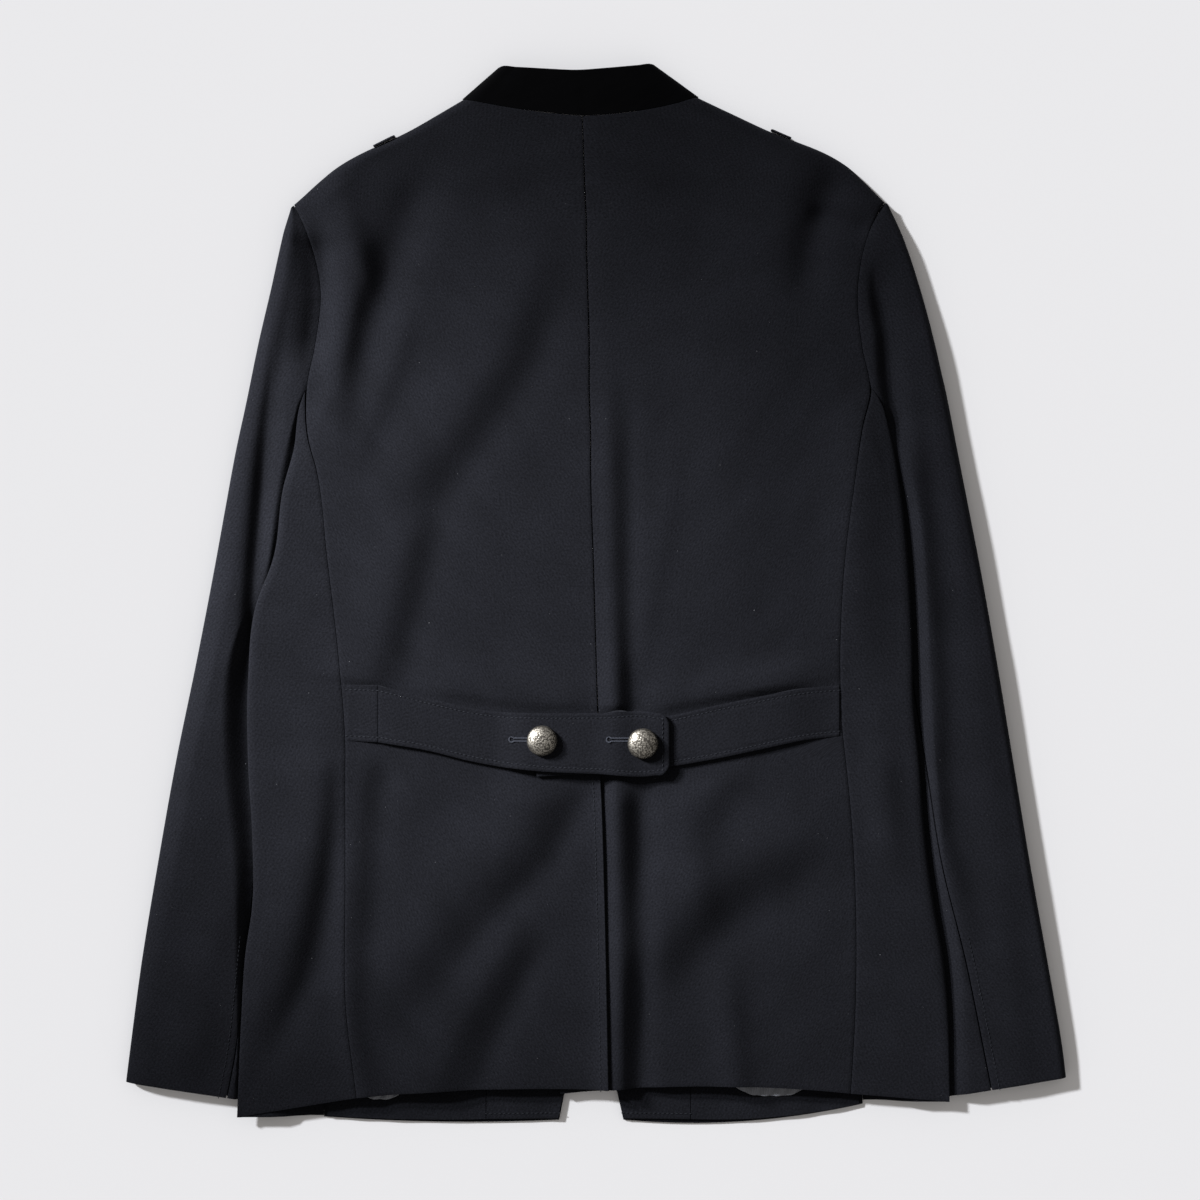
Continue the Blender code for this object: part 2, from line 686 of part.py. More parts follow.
def upper_sleeve_row(row, side):
    """Points of the upper sleeve: from the back seam or armhole over the outer fold to the front seam."""
    width = abs(row.outer_x - row.inner_x)
    to_seam = abs(row.outer_x - row.seam_x)
    low_roll = min(SLEEVE_LOW_ROLL, SLEEVE_LOW_SHARE * width)
    points = []
    for step in reversed(roll_steps(to_seam, SLEEVE_TOP_COLUMNS)):
        points.append(sleeve_point(row, side, width, step, sleeve_top(row, width, step)))
    for part in SLEEVE_LOW_STEPS:
        z = SLEEVE_RIM * (1 - quarter_round(part, 1.0))
        points.append(sleeve_point(row, side, width, part * low_roll, z))
    points.append(sleeve_point(row, side, width, min(FRONT_SEAM_RUN, FRONT_SEAM_SHARE * width), 0))
    return points


def under_sleeve_row(row, side):
    """Points of the under sleeve: from the front seam along the surface, then curled over its inner edge."""
    width = abs(row.outer_x - row.inner_x)
    wrap = min(max(row.wrap, 0.0), 1.0)
    start = min(FRONT_SEAM_RUN, FRONT_SEAM_SHARE * width) + SEAM
    flat_count = len(CURL_ANGLES) + FLAP_COLUMNS
    flat_step = min(CURL_FLAT_STEP, (width - start) / (2 * flat_count))
    curl_start = width - CURL_RADIUS * wrap - flat_step * flat_count * (1 - wrap)
    points = []
    for column in range(UNDER_COLUMNS + 1):
        step = start + (curl_start - start) * column / UNDER_COLUMNS
        points.append(sleeve_point(row, side, width, step, 0))
    for index, angle in enumerate(CURL_ANGLES):
        turn = math.radians(angle)
        flat = curl_start + flat_step * (index + 1)
        curled = width - CURL_RADIUS + CURL_RADIUS * math.sin(turn)
        height = wrap * row.start / 2 * (1 - math.cos(turn))
        points.append(sleeve_point(row, side, width, flat + (curled - flat) * wrap, height))
    to_seam = abs(row.outer_x - row.seam_x) + BACK_SEAM
    for flap in range(1, FLAP_COLUMNS + 1):
        flat = curl_start + flat_step * (len(CURL_ANGLES) + flap)
        curled = width - CURL_RADIUS + (to_seam - width + CURL_RADIUS) * flap / FLAP_COLUMNS
        height = wrap * sleeve_top(row, width, curled)
        points.append(sleeve_point(row, side, width, flat + (curled - flat) * wrap, height))
    return points


def add_sleeve(collection, name, table, side):
    """Upper and under piece of one sleeve."""
    filled = fill_rows(table, SLEEVE_ALONG)
    upper = [upper_sleeve_row(row, side) for row in filled]
    under = [under_sleeve_row(row, side) for row in filled]
    add_sheet(collection, name + "_upper", upper, (0, 0, 1), 2, WALL, WOOL)
    add_sheet(collection, name + "_under", under, (0, 0, -1), 1, WALL, WOOL)


def add_collar(collection):
    """Velvet stand collar, one band flattened to a loop that is open at the front."""
    rows = []
    for row in fill_rows(COLLAR, COLLAR_ALONG):
        neck = Vector((row.neck_x, row.neck_y, max(row.neck_z, 0)))
        top = Vector((row.top_x, row.top_y, max(row.top_z, 0)))
        rows.append([neck.lerp(top, step / COLLAR_HEIGHT_STEPS) for step in range(COLLAR_HEIGHT_STEPS + 1)])
    return add_sheet(collection, "collar", rows, (0, 0, 1), 1, VELVET_WALL, VELVET)


def shoulder_point(panel, x):
    """Point of the shoulder edge of a back panel at one place across the page."""
    edge = [Vector((row.outer_x, row.outer_y)) for row in fill_rows(panel[0], ALONG)]
    index = 0
    while index < len(edge) - 2 and abs(x) > abs(edge[index + 1].x):
        index += 1
    first, second = edge[index], edge[index + 1]
    return first.lerp(second, (x - first.x) / (second.x - first.x))


def add_strap(collection, name, panel, span):
    """End of a shoulder strap, on points of the shoulder edge moved out square to the edge."""
    reach = STRAP_CLEAR + STRAP_WALL
    edge = EDGES[0]
    rise = edge.crown - edge.rim
    shoulder = [shoulder_point(panel, span[0] + (span[1] - span[0]) * step / STRAP_STEPS)
                for step in range(STRAP_STEPS + 1)]
    run = (shoulder[-1] - shoulder[0]).normalized()
    outward = Vector((-run.y, run.x))
    roll = edge.roll * abs(outward.x)
    rows = []
    for place in shoulder:
        foot = place + outward * reach
        points = [(foot.x, foot.y, SEAM)]
        for angle in STRAP_ANGLES:
            turn = math.radians(angle)
            normal = Vector((math.cos(turn) / roll, math.sin(turn) / rise)).normalized()
            top = place + outward * (reach * normal.x - roll * (1 - math.cos(turn)))
            points.append((top.x, top.y, edge.rim + rise * math.sin(turn) + reach * normal.y))
        rows.append(points)
    return add_sheet(collection, name, rows, (outward.x, outward.y, 0), 1, STRAP_WALL, WOOL)


def add_belt(collection, name, table, lap):
    """One tab of the half belt, on the points of the back moved out; lap is the rise over the other tab."""
    rows = []
    for row in fill_rows(table, BELT_ALONG):
        lift = BELT_CLEAR + BELT_WALL + lap * smooth_step((row.x - BELT_LAP_START) / BELT_LAP_RUN)
        points = []
        for column in range(BELT_COLUMNS + 1):
            y = row.low + (row.high - row.low) * column / BELT_COLUMNS
            points.append((row.x, y, back_height(row.x, y) + lift))
        rows.append(points)
    return add_sheet(collection, name, rows, (0, 0, 1), 1, BELT_WALL, WOOL)


def add_button(collection, button):
    """Domed metal button, a turned profile from the dome's top to the middle of its flat underside."""
    profile = bmesh.new()
    outline = []
    for step in range(BUTTON_DOME_STEPS + 1):
        turn = math.radians(90 * step / BUTTON_DOME_STEPS)
        dome = BUTTON_HEIGHT - BUTTON_RIM
        outline.append((BUTTON_RADIUS * math.sin(turn), BUTTON_RIM + dome * math.cos(turn)))
    outline.append((BUTTON_FOOT_RADIUS, 0.0))
    outline.append((0.0, 0.0))
    ring = [profile.verts.new((across * MM, 0, height * MM)) for across, height in outline]
    for first, second in zip(ring, ring[1:]):
        profile.edges.new((first, second))
    mesh = bpy.data.meshes.new(button.name)
    profile.to_mesh(mesh)
    profile.free()
    piece = add_object(collection, button.name, mesh, SILVER)
    seat = []
    for angle in BUTTON_SEAT_ANGLES:
        turn = math.radians(angle)
        x = button.x + BUTTON_RADIUS * math.cos(turn)
        y = button.y + BUTTON_RADIUS * math.sin(turn)
        seat.append(back_height(x, y))
    belt_top = max(seat) + BELT_CLEAR + BELT_WALL + BELT_LAP
    piece.location = Vector((button.x, button.y, belt_top + SEAM)) * MM
    screw = piece.modifiers.new("turned", "SCREW")
    screw.steps = BUTTON_SIDES
    screw.render_steps = BUTTON_SIDES
    screw.use_merge_vertices = True
    screw.merge_threshold = MERGE_DISTANCE
    return piece


def build_jacket():
    """Build every piece of the jacket."""
    clear_scene()
    jacket = bpy.data.collections.new("trooper_jacket")
    bpy.context.scene.collection.children.link(jacket)
    add_back(jacket, "back_left", BACK_LEFT, -1, LEFT_CENTRE)
    add_back(jacket, "back_right", BACK_RIGHT, 1, RIGHT_CENTRE)
    add_side(jacket, "side_left", SIDE_LEFT, BACK_LEFT, -1)
    add_side(jacket, "side_right", SIDE_RIGHT, BACK_RIGHT, 1)
    add_front(jacket, "front_left", front_rows(FRONT_LEFT, FRONT_LEFT_HEM, SIDE_LEFT, -1))
    add_front(jacket, "front_right", front_rows(FRONT_RIGHT, FRONT_RIGHT_HEM, SIDE_RIGHT, 1))
    for strip in INSIDE_STRIPS:
        add_inside_strip(jacket, strip)
    add_sleeve(jacket, "sleeve_left", SLEEVE_LEFT, -1)
    add_sleeve(jacket, "sleeve_right", SLEEVE_RIGHT, 1)
    add_collar(jacket)
    add_strap(jacket, "epaulette_left", BACK_LEFT, STRAP_LEFT)
    add_strap(jacket, "epaulette_right", BACK_RIGHT, STRAP_RIGHT)
    add_belt(jacket, "half_belt_left_end", BELT_LEFT_END, 0)
    add_belt(jacket, "half_belt_left", BELT_LEFT, BELT_LAP)
    add_belt(jacket, "half_belt_right", BELT_RIGHT, 0)
    for button in BUTTONS:
        add_button(jacket, button)


build_jacket()
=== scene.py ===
"""Looks of a trooper jacket laid on its front: wool twill, velvet collar, satin lining, belt, buttons."""
import math
from collections import namedtuple

import bmesh
import bpy
import numpy as np
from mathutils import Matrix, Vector, noise


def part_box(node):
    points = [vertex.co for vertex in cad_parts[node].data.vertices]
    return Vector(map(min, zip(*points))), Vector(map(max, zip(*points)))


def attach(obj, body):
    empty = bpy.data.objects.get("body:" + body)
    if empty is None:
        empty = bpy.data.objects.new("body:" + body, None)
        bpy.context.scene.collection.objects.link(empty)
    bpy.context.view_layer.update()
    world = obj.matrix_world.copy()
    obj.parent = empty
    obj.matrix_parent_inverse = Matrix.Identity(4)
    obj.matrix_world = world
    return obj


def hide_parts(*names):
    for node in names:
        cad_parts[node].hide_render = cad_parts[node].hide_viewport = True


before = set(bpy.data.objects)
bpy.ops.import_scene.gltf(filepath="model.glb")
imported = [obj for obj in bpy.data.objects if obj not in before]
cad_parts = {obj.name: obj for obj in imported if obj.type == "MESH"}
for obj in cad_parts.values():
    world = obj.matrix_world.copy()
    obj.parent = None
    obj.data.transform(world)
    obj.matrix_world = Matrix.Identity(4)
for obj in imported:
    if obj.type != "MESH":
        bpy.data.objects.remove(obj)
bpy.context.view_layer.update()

# Back: two halves of navy wool twill, sewn down the centre to the half belt. Below it the left half laps
# over an underlap of the right half as a vent. The cloth is fulled, so it is a little hairy and falls in
# soft folds. Sizes are in millimetres; left is the wearer's left and the collar is towards +Y.
MM = 0.001
WALL = 2.0
SEAM = 0.3
SPACING = 3.0
SEAM_DIP = 0.35
SEAM_DIP_RUN = 1.0
PUCKER_HEIGHT = 0.14
PUCKER_LENGTH = 13.0
PUCKER_RUN = 6.0
EDGE_STEPS = np.array((0.0, 0.5, 1.2, 2.2, 3.6, 5.4))
UP, DOWN = (0, 0, 1), (0, 0, -1)
# What a sheet of cloth is cut to, in metres and square metres, and how it lies.
Cut = namedtuple("Cut", "flat area held")
# The allowances of the centre seam are pressed to the left, so the right half dips a little beside it.
CENTRE_STEP = 0.65
CENTRE_STEP_RUN = 8.0


def rows_of(kind, *rows):
    """Table of named rows from plain ones."""
    return tuple(kind(*row) for row in rows)


# Outer edge of the back along its length: height of its rim, run of its roll and height of the crown.
FOLD_LOW = 8.8
FOLD_MID = 12.0
Edge = namedtuple("Edge", "y rim roll crown")
EDGES = rows_of(
    Edge,
    (372, 3.8, 14, 13.0), (305, 3.8, 14, 13.0), (285, 8.0, 10, 12.0), (262, 12.5, 14, 13.0),
    (221, 13.2, 14, 13.5), (147, 12.9, 12, 13.5), (104, FOLD_MID, 8, 14.5), (78, FOLD_MID, 7, 15.0),
    (-8, FOLD_MID, 7, 15.0), (-64, FOLD_MID, 7, 14.5), (-122, FOLD_MID, 7, 14.5),
    (-175, FOLD_MID, 7, 15.0), (-263, FOLD_MID, 7, 15.0), (-400, FOLD_MID, 7, 11.0),
)

# Rows of a panel, each between its inner and its outer edge. A row given twice is a corner of the outline.
PanelRow = namedtuple("PanelRow", "inner_x inner_y outer_x outer_y bow lap drop", defaults=(0, 0, 0))
PANEL_PLACES = ((0, 1), (2, 3))
BACK_LEFT = rows_of(
    PanelRow,
    (-10, 346.6, -97.5, 359.4, -1.6), (-9, 318, -134, 338.3), (-8, 290, -190, 309.6),
    (-7, 270, -219.9, 282.6), (-7, 270, -219.9, 282.6), (-7, 255, -210, 261), (-6, 219, -201, 221),
    (-5, 180, -205, 180), (-5, 150, -210, 150), (-4, 113, -209, 113), (-4, 90, -203, 90),
    (-2, 24, -195, 24), (0, -45, -187, -45), (2, -111, -182, -111), (4, -150, -182, -150),
    (6, -215, -182, -215), (8, -307, -181, -307), (9, -361.5, -174, -367, 3),
)
BACK_RIGHT = rows_of(
    PanelRow,
    (-10, 346.6, 74.6, 361, -3), (-9, 318, 122, 338.8), (-8, 290, 184, 310.6), (-7, 270, 210, 284.6),
    (-7, 270, 210, 284.6), (-7, 255, 199, 264), (-6, 219, 190, 221), (-5, 180, 193, 180),
    (-5, 147, 199, 147), (-4, 120, 193, 120), (-4, 78, 187, 78), (-2, 22, 180, 22), (0, -45, 177, -45),
    (2, -92, 178, -92), (2, -92, 178, -92), (2.5, -103, 179, -103, 0, 0, 1),
    (3, -112, 180, -112, 0, 1, 1), (4, -150, 184, -150, 0, 1, 1), (6, -215, 188, -215, 0, 1, 1),
    (8, -307, 188, -307, 0, 1, 1), (9, -361.5, 185, -364, 4, 1, 1),
)
UNDERLAP = 35.0
VENT_DROP = 3.3
VENT_TOP = -85.0
VENT_RISE_START = 1.0
VENT_RISE_RUN = 10.0

SideRow = namedtuple("SideRow", "seam_y edge_x edge_y under", defaults=(1.0,))
SIDE_PLACES = ((2,),)
SIDE_LEFT = rows_of(
    SideRow,
    (147, -211.8, 146, 0.04), (139, -214.8, 137.5, 0.25), (106, -220, 103, 0.7), (78, -227, 78),
    (24, -235, 24), (-8, -247, -8), (-64, -253, -64), (-122, -253, -122), (-175, -250, -175),
    (-228, -250, -228), (-263, -255, -263), (-312, -258, -312), (-367, -261, -381.3),
)
SIDE_RIGHT = rows_of(
    SideRow,
    (149, 200.8, 148.5, 0.05), (141, 206.3, 140, 0.35), (120, 213.5, 117, 0.7), (78, 221, 78),
    (22, 227, 22), (-34, 230, -34), (-82, 231, -82), (-122, 235, -122), (-175, 239, -175),
    (-228, 246, -228), (-263, 252, -263), (-307, 256, -307), (-364, 257, -370),
)

# Soft ridges (height over 0) and troughs of the back and sides, each along a path of points.
Crease = namedtuple("Crease", "height width lean path")
BACK_CREASES = rows_of(
    Crease,
    (5.2, 20, 0.3, ((-206, 345), (-186, 285), (-175, 252), (-174, 227), (-180, 199), (-186, 166),
     (-196, 70))),
    (-5.4, 17, 0.0, ((-112, 330), (-136, 274), (-150, 236), (-164, 196), (-178, 120))),
    (4.4, 27, 0.2, ((-40, 290), (-52, 228), (-72, 178), (-113, 117), (-140, 88), (-200, 60))),
    (-1.8, 15, 0.0, ((-12, 256), (-44, 164), (-87, 100), (-118, 62), (-170, 36))),
    (2.6, 16, 0.25, ((-134, 220), (-148, 170), (-158, 146), (-172, 110), (-182, 76))),
    (3.8, 21, 0.15, ((-122, 92), (-138, 44), (-148, 8), (-158, -30), (-168, -64), (-178, -110))),
    (-1.5, 12, 0.0, ((-106, 80), (-120, 20), (-130, -24), (-144, -80))),
    (-4.0, 42, 0.0, ((90, 420), (80, 330), (76, 280), (66, 190))),
    (-5.8, 14.5, 0.0, ((194, 350), (174, 300), (163, 276), (155, 250), (147, 196))),
    (1.8, 17, 0.1, ((146, 340), (138, 280), (143, 248), (154, 190))),
    (2.4, 40, 0.0, ((100, 230), (106, 120), (106, 20), (92, -90))),
    (0.9, 10, 0.1, ((62, 120), (49, 50), (39, -5), (24, -100))),
    (3.8, 20, 0.0, ((198, 160), (190, 96), (188, 50), (188, 10), (194, -60))),
    (3.0, 15, 0.2, ((10, -77), (53, -77), (85, -70), (119, -63), (186, -52))),
    (2.6, 14, 0.2, ((20, -77), (-47, -75), (-93, -70), (-140, -58))),
    (5.0, 19, 0.1, ((-192, -40), (-200, -150), (-209, -195), (-221, -240), (-231, -274), (-256, -330))),
    (-3.0, 11, 0.0, ((-176, -60), (-186, -170), (-196, -232), (-206, -276), (-224, -312), (-252, -372))),
    (2.8, 13, -0.35, ((-181, -40), (-181, -150), (-181, -220), (-182, -340))),
    (-2.0, 12, 0.0, ((-140, -70), (-159, -160), (-160, -220), (-168, -310))),
    (5.0, 26, 0.15, ((-14, -80), (-58, -173), (-85, -201), (-108, -225), (-131, -256), (-170, -336))),
    (-2.2, 13, 0.0, ((14, -106), (-32, -196), (-60, -224), (-82, -248), (-126, -308))),
    (2.4, 11, 0.1, ((-180, -250), (-179, -300), (-177, -322), (-160, -410))),
    (4.2, 20, 0.2, ((-48, -214), (-67, -254), (-85, -285), (-106, -323), (-134, -396))),
    (-1.8, 11, 0.0, ((-28, -236), (-58, -296), (-76, -334), (-100, -396))),
    (4.4, 20, 0.1, ((150, -44), (100, -118), (82, -140), (70, -165), (68, -192), (80, -260))),
    (5.0, 26, 0.0, ((200, -156), (118, -187), (82, -208), (52, -237), (36, -262), (14, -320))),
    (-2.6, 21, 0.0, ((190, -190), (118, -232), (90, -255), (40, -304))),
    (3.0, 13, 0.1, ((92, -250), (98, -310), (101, -354), (106, -440))),
    (2.8, 13, 0.1, ((202, -40), (208, -136), (218, -220))),
    (2.0, 8.2, 0.1, ((8, 190), (9, 120), (11, 20), (13, -60), (15, -170))),
    (-1.5, 7, 0.0, ((24, 170), (25, 100), (25, 0), (26, -140))),
    (5.2, 11, 0.0, ((13, 20), (15, -150), (16, -260), (14, -320), (9, -490))),
    (-3.2, 10, 0.0, ((33, 0), (34, -150), (34, -260), (31, -490))),
)
# Folds that cross an armhole seam, so they lift or lower the sleeve and the back alike.
ARMHOLE_CREASES = rows_of(
    Crease,
    (-8.0, 13, 0.25, ((-204, 278), (-200, 246), (-201, 215), (-205, 185), (-211, 152))),
    (1.8, 9, -0.25, ((-262, 270), (-224, 263), (-184, 261), (-166, 236), (-160, 200))),
    (-4.0, 8, 0.0, ((150, 278), (170, 273), (188, 267), (206, 262))),
)
CREASE_TAPER = 0.28
WRINKLES = ((64.0, 0.75), (27.0, 0.22))
WRINKLE_SEED = 7.3
# Band that the half belt holds flat: its upper and lower edge at places across.
BeltBand = namedtuple("BeltBand", "x high low")
BELT_BAND = rows_of(
    BeltBand,
    (-200, -64, -105), (-121, -76, -115), (-47, -87, -128), (50, -88, -130), (119, -75, -114),
    (200, -64, -102),
)
BELT_BAND_ABOVE = 6.0
BELT_BAND_BELOW = 26.0
BELT_BAND_KEEP = 0.2


def smooth_step(value, start=0, end=1):
    """Ease from 0 at the start to 1 at the end, level at both."""
    part = np.clip((value - start) / (end - start), 0, 1)
    return part * part * (3 - 2 * part)


def quarter_round(part):
    """Rise of a rolled edge, 0 at the edge and 1 from the end of the roll."""
    return np.sqrt(1 - (1 - np.clip(part, 0, 1)) ** 2)


def bell(value):
    """Bell curve that is 1 at 0."""
    return np.exp(-value ** 2)


def between(first, last, share):
    """Value at a share of the way from one value to another."""
    return first + (last - first) * share


def bowed(bow, share):
    """Curve that is 0 at both ends of a row and one bow high in its middle."""
    return 4 * bow * share * (1 - share)


def rows_through(table, places, spacing):
    """Rows about one spacing apart on a smooth curve through a table, spaced by some of its columns."""
    values = np.array(table, float)
    runs = [np.linalg.norm(np.diff(values[:, list(place)], axis=0), axis=1) for place in places]
    gaps = np.max(runs, axis=0)
    steps = np.diff(values, axis=0) / gaps[:, None]
    share = (gaps[:-1] / (gaps[:-1] + gaps[1:]))[:, None]
    slopes = np.concatenate([steps[:1], (1 - share) * steps[:-1] + share * steps[1:], steps[-1:]])
    filled = [values[:1]]
    for index, gap in enumerate(gaps):
        count = max(1, round(gap / spacing))
        part = np.arange(1, count + 1)[:, None] / count
        leave = gap * slopes[index] * part * (1 - part) ** 2
        arrive = gap * slopes[index + 1] * part * part * (part - 1)
        filled.append(between(values[index], values[index + 1], smooth_step(part)) + leave + arrive)
    return np.concatenate(filled)


def stretches_of(panel):
    """Parts of a panel's table between the corners of its outline."""
    cuts = [index for index in range(1, len(panel)) if panel[index] == panel[index - 1]]
    return [panel[start:end] for start, end in zip([0, *cuts], [*cuts, None])]


def panel_rows(panel, spacing):
    """Rows of a panel about one spacing apart."""
    rows = [rows_through(part, PANEL_PLACES, spacing) for part in stretches_of(panel)]
    return np.concatenate([rows[0]] + [later[1:] for later in rows[1:]])


def outline_of(panel, side_table):
    """Outer edge of one half of the back, as rising y values and their x: fold, armhole and shoulder."""
    fold = rows_through(side_table, SIDE_PLACES, SPACING)[:, 1:3]
    above = panel_rows(panel, SPACING)[:, 2:4]
    above = above[above[:, 1] > fold[0, 1] + SPACING]
    points = np.concatenate([above, fold])[::-1]
    return points[:, 1], points[:, 0]


def crease_height(creases, x, y):
    """Height that the soft ridges and troughs along their paths add at each point."""
    total = np.zeros_like(x)
    for crease in creases:
        path = np.array(crease.path, float)
        runs = np.diff(path, axis=0)
        lengths = np.linalg.norm(runs, axis=1)
        nearest = np.full_like(x, np.inf)
        along = np.zeros_like(x)
        side = np.zeros_like(x)
        start = 0.0
        for (x0, y0), (run_x, run_y), length in zip(path, runs, lengths):
            part = np.clip(((x - x0) * run_x + (y - y0) * run_y) / length ** 2, 0, 1)
            off_x = x - x0 - part * run_x
            off_y = y - y0 - part * run_y
            distance = np.hypot(off_x, off_y)
            closer = distance < nearest
            nearest = np.where(closer, distance, nearest)
            along = np.where(closer, start + part * length, along)
            side = np.where(closer, np.sign(off_x * run_y - off_y * run_x), side)
            start += length
        taper = CREASE_TAPER * start
        ends = smooth_step(along / taper) * smooth_step((start - along) / taper)
        width = crease.width * (1 + crease.lean * side)
        total += crease.height * ends * bell(nearest / width)
    return total


def wrinkle_height(x, y):
    """Slight waves of cloth that has been worn and laid down."""
    total = np.zeros(x.size)
    for size, height in WRINKLES:
        places = zip(x.ravel() / size, y.ravel() / size)
        total += height * np.array([noise.noise((across, along, WRINKLE_SEED)) for across, along in places])
    return total.reshape(x.shape)


LEFT_OUTLINE = outline_of(BACK_LEFT, SIDE_LEFT)
RIGHT_OUTLINE = outline_of(BACK_RIGHT, SIDE_RIGHT)
EDGE_ROWS = rows_through(EDGES, ((0,),), SPACING)[::-1].T


def back_height(x, y):
    """Height of the outer face of the back and the upper side of the side panels."""
    rim, roll, crown = (np.interp(y, EDGE_ROWS[0], column) for column in EDGE_ROWS[1:])
    distance = np.minimum(x - np.interp(y, *LEFT_OUTLINE), np.interp(y, *RIGHT_OUTLINE) - x)
    band = BeltBand(*zip(*BELT_BAND))
    above = smooth_step((y - np.interp(x, band.x, band.high)) / BELT_BAND_ABOVE)
    below = smooth_step((np.interp(x, band.x, band.low) - y) / BELT_BAND_BELOW)
    calm = between(BELT_BAND_KEEP, 1, np.maximum(above, below))
    folds = crease_height(BACK_CREASES, x, y) + wrinkle_height(x, y)
    folds = folds * calm * smooth_step(distance / (2 * roll)) + crease_height(ARMHOLE_CREASES, x, y)
    return between(rim, crown, quarter_round(distance / roll)) + folds


def steps_across(width, spacing):
    """Distances across each row, close together at both edges and about one spacing apart between them."""
    count = max(2, round(width.max() / spacing))
    near = EDGE_STEPS * np.minimum(1, width / (4 * EDGE_STEPS[-1]))
    middle = near[:, -1:] + (width - 2 * near[:, -1:]) * np.arange(1, count) / count
    return np.hstack([near, middle, width - near[:, ::-1]])


def seam_dip(distance, along):
    """Depth by which cloth goes down to a seam, with the puckers that the sewing leaves beside it."""
    pucker = PUCKER_HEIGHT * np.sin(2 * math.pi * along / PUCKER_LENGTH) * bell(distance / PUCKER_RUN)
    return SEAM_DIP * bell(distance / SEAM_DIP_RUN) + pucker


def linear(hex_colour):
    """Linear colour of an sRGB hex value."""
    parts = [int(hex_colour[place:place + 2], 16) / 255 for place in (1, 3, 5)]
    return [part / 12.92 if part <= 0.04045 else ((part + 0.055) / 1.055) ** 2.4 for part in parts] + [1]


def fill_inputs(tree, node, inputs):
    """Give each input of a node its value, or link it to its socket."""
    for name, value in inputs.items():
        if isinstance(value, bpy.types.NodeSocket):
            tree.links.new(value, node.inputs[name])
        else:
            node.inputs[name].default_value = value


def add_node(tree, kind, inputs, **settings):
    """Outputs of a new node of one kind with its inputs and settings."""
    node = tree.nodes.new(kind)
    for name, value in settings.items():
        setattr(node, name, value)
    fill_inputs(tree, node, inputs)
    return node.outputs


def grain_of(tree, place, size, detail, **more):
    """Value of a noise whose grains have one size in metres."""
    inputs = {"Vector": place, "Scale": 1 / size, "Detail": detail, **more}
    return add_node(tree, "ShaderNodeTexNoise", inputs)[0]


def ranged(tree, value, given, wanted=(0.0, 1.0)):
    """Value moved from a given range to a wanted one."""
    limits = zip(("From Min", "From Max", "To Min", "To Max"), given + wanted)
    return add_node(tree, "ShaderNodeMapRange", {"Value": value, **dict(limits)})[0]


def blend(tree, share, first, second, **settings):
    """Colour between two, each a hex value or a socket, at a share of the way."""
    ends = [linear(colour) if isinstance(colour, str) else colour for colour in (first, second)]
    inputs = {"Factor": share, 6: ends[0], 7: ends[1]}
    return add_node(tree, "ShaderNodeMix", inputs, data_type="RGBA", **settings)[2]


def relief(tree, height, strength, depth):
    """Surface direction with a fine relief."""
    return add_node(tree, "ShaderNodeBump", {"Height": height, "Strength": strength, "Distance": depth})[0]


def new_material(name, layers, *colours):
    """New material; layers takes its node tree and gives the inputs of its shader."""
    material = bpy.data.materials.new(name)
    material.use_nodes = True
    tree = material.node_tree
    fill_inputs(tree, tree.nodes["Principled BSDF"], layers(tree, *colours))
    return material


# Fulled wool twill, woven and then raised: matt, near black with a blue cast. The raised fibres almost hide
# the twill, catch the light in small grains and hold some pale lint. The grain is drawn 1.5 mm wide, about
# twice its real size, so that it shows.
WOOL_DARK = "#030305"
WOOL_LIGHT = "#17181D"
WOOL_LINT = "#8C8D92"
WOOL_TONES = (0.2, 0.66)
WOOL_RELIEF = 0.0003
WOOL_RELIEF_STRENGTH = 0.8
WOOL_SURFACE = {
    "Roughness": 0.95, "Specular IOR Level": 0.06, "Sheen Weight": 0.03, "Sheen Roughness": 0.45,
    "Sheen Tint": linear("#A9ADBA"),
}
TWILL_WIDTH = 0.0026
TWILL_SHARE = 0.12
TWILL_TURN = math.radians(27)
TWILL_WAVE = {"Distortion": 5.0, "Detail": 3.0, "Detail Scale": 2.0}
WAVE_PERIOD = 2 * math.pi / 20
FIBRE_SIZE = 0.0015
FIBRE_ROUGHNESS = 0.7
SHADE_SIZE = 0.035
SHADE_SHARE = 0.3
LINT_SIZE = 0.0022
LINT_RANGE = (0.77, 0.84)
LINT_STRENGTH = 0.5


def wool_twill(tree):
    """Shader inputs of the wool cloth."""
    place = add_node(tree, "ShaderNodeUVMap", {}, uv_map="cloth")["UV"]
    turned = add_node(tree, "ShaderNodeMapping", {"Vector": place, "Rotation": (0, 0, TWILL_TURN)})[0]
    wave = {"Vector": turned, "Scale": WAVE_PERIOD / TWILL_WIDTH, **TWILL_WAVE}
    twill = add_node(tree, "ShaderNodeTexWave", wave, bands_direction="X")["Fac"]
    fibre = grain_of(tree, place, FIBRE_SIZE, detail=4.0, Roughness=FIBRE_ROUGHNESS)
    shade = grain_of(tree, place, SHADE_SIZE, detail=3.0)
    lint = grain_of(tree, place, LINT_SIZE, detail=2.0)
    ribs = ranged(tree, twill, (0.0, 1.0), (1 - TWILL_SHARE, 1.0))
    grain = add_node(tree, "ShaderNodeMath", {0: fibre, 1: ribs}, operation="MULTIPLY")[0]
    mixed = blend(tree, ranged(tree, grain, WOOL_TONES), WOOL_DARK, WOOL_LIGHT)
    uneven = blend(tree, SHADE_SHARE, mixed, shade, blend_type="SOFT_LIGHT")
    linted = blend(tree, ranged(tree, lint, LINT_RANGE, (0.0, LINT_STRENGTH)), uneven, WOOL_LINT)
    bump = relief(tree, grain, WOOL_RELIEF_STRENGTH, WOOL_RELIEF)
    return {"Base Color": linted, "Normal": bump, **WOOL_SURFACE}


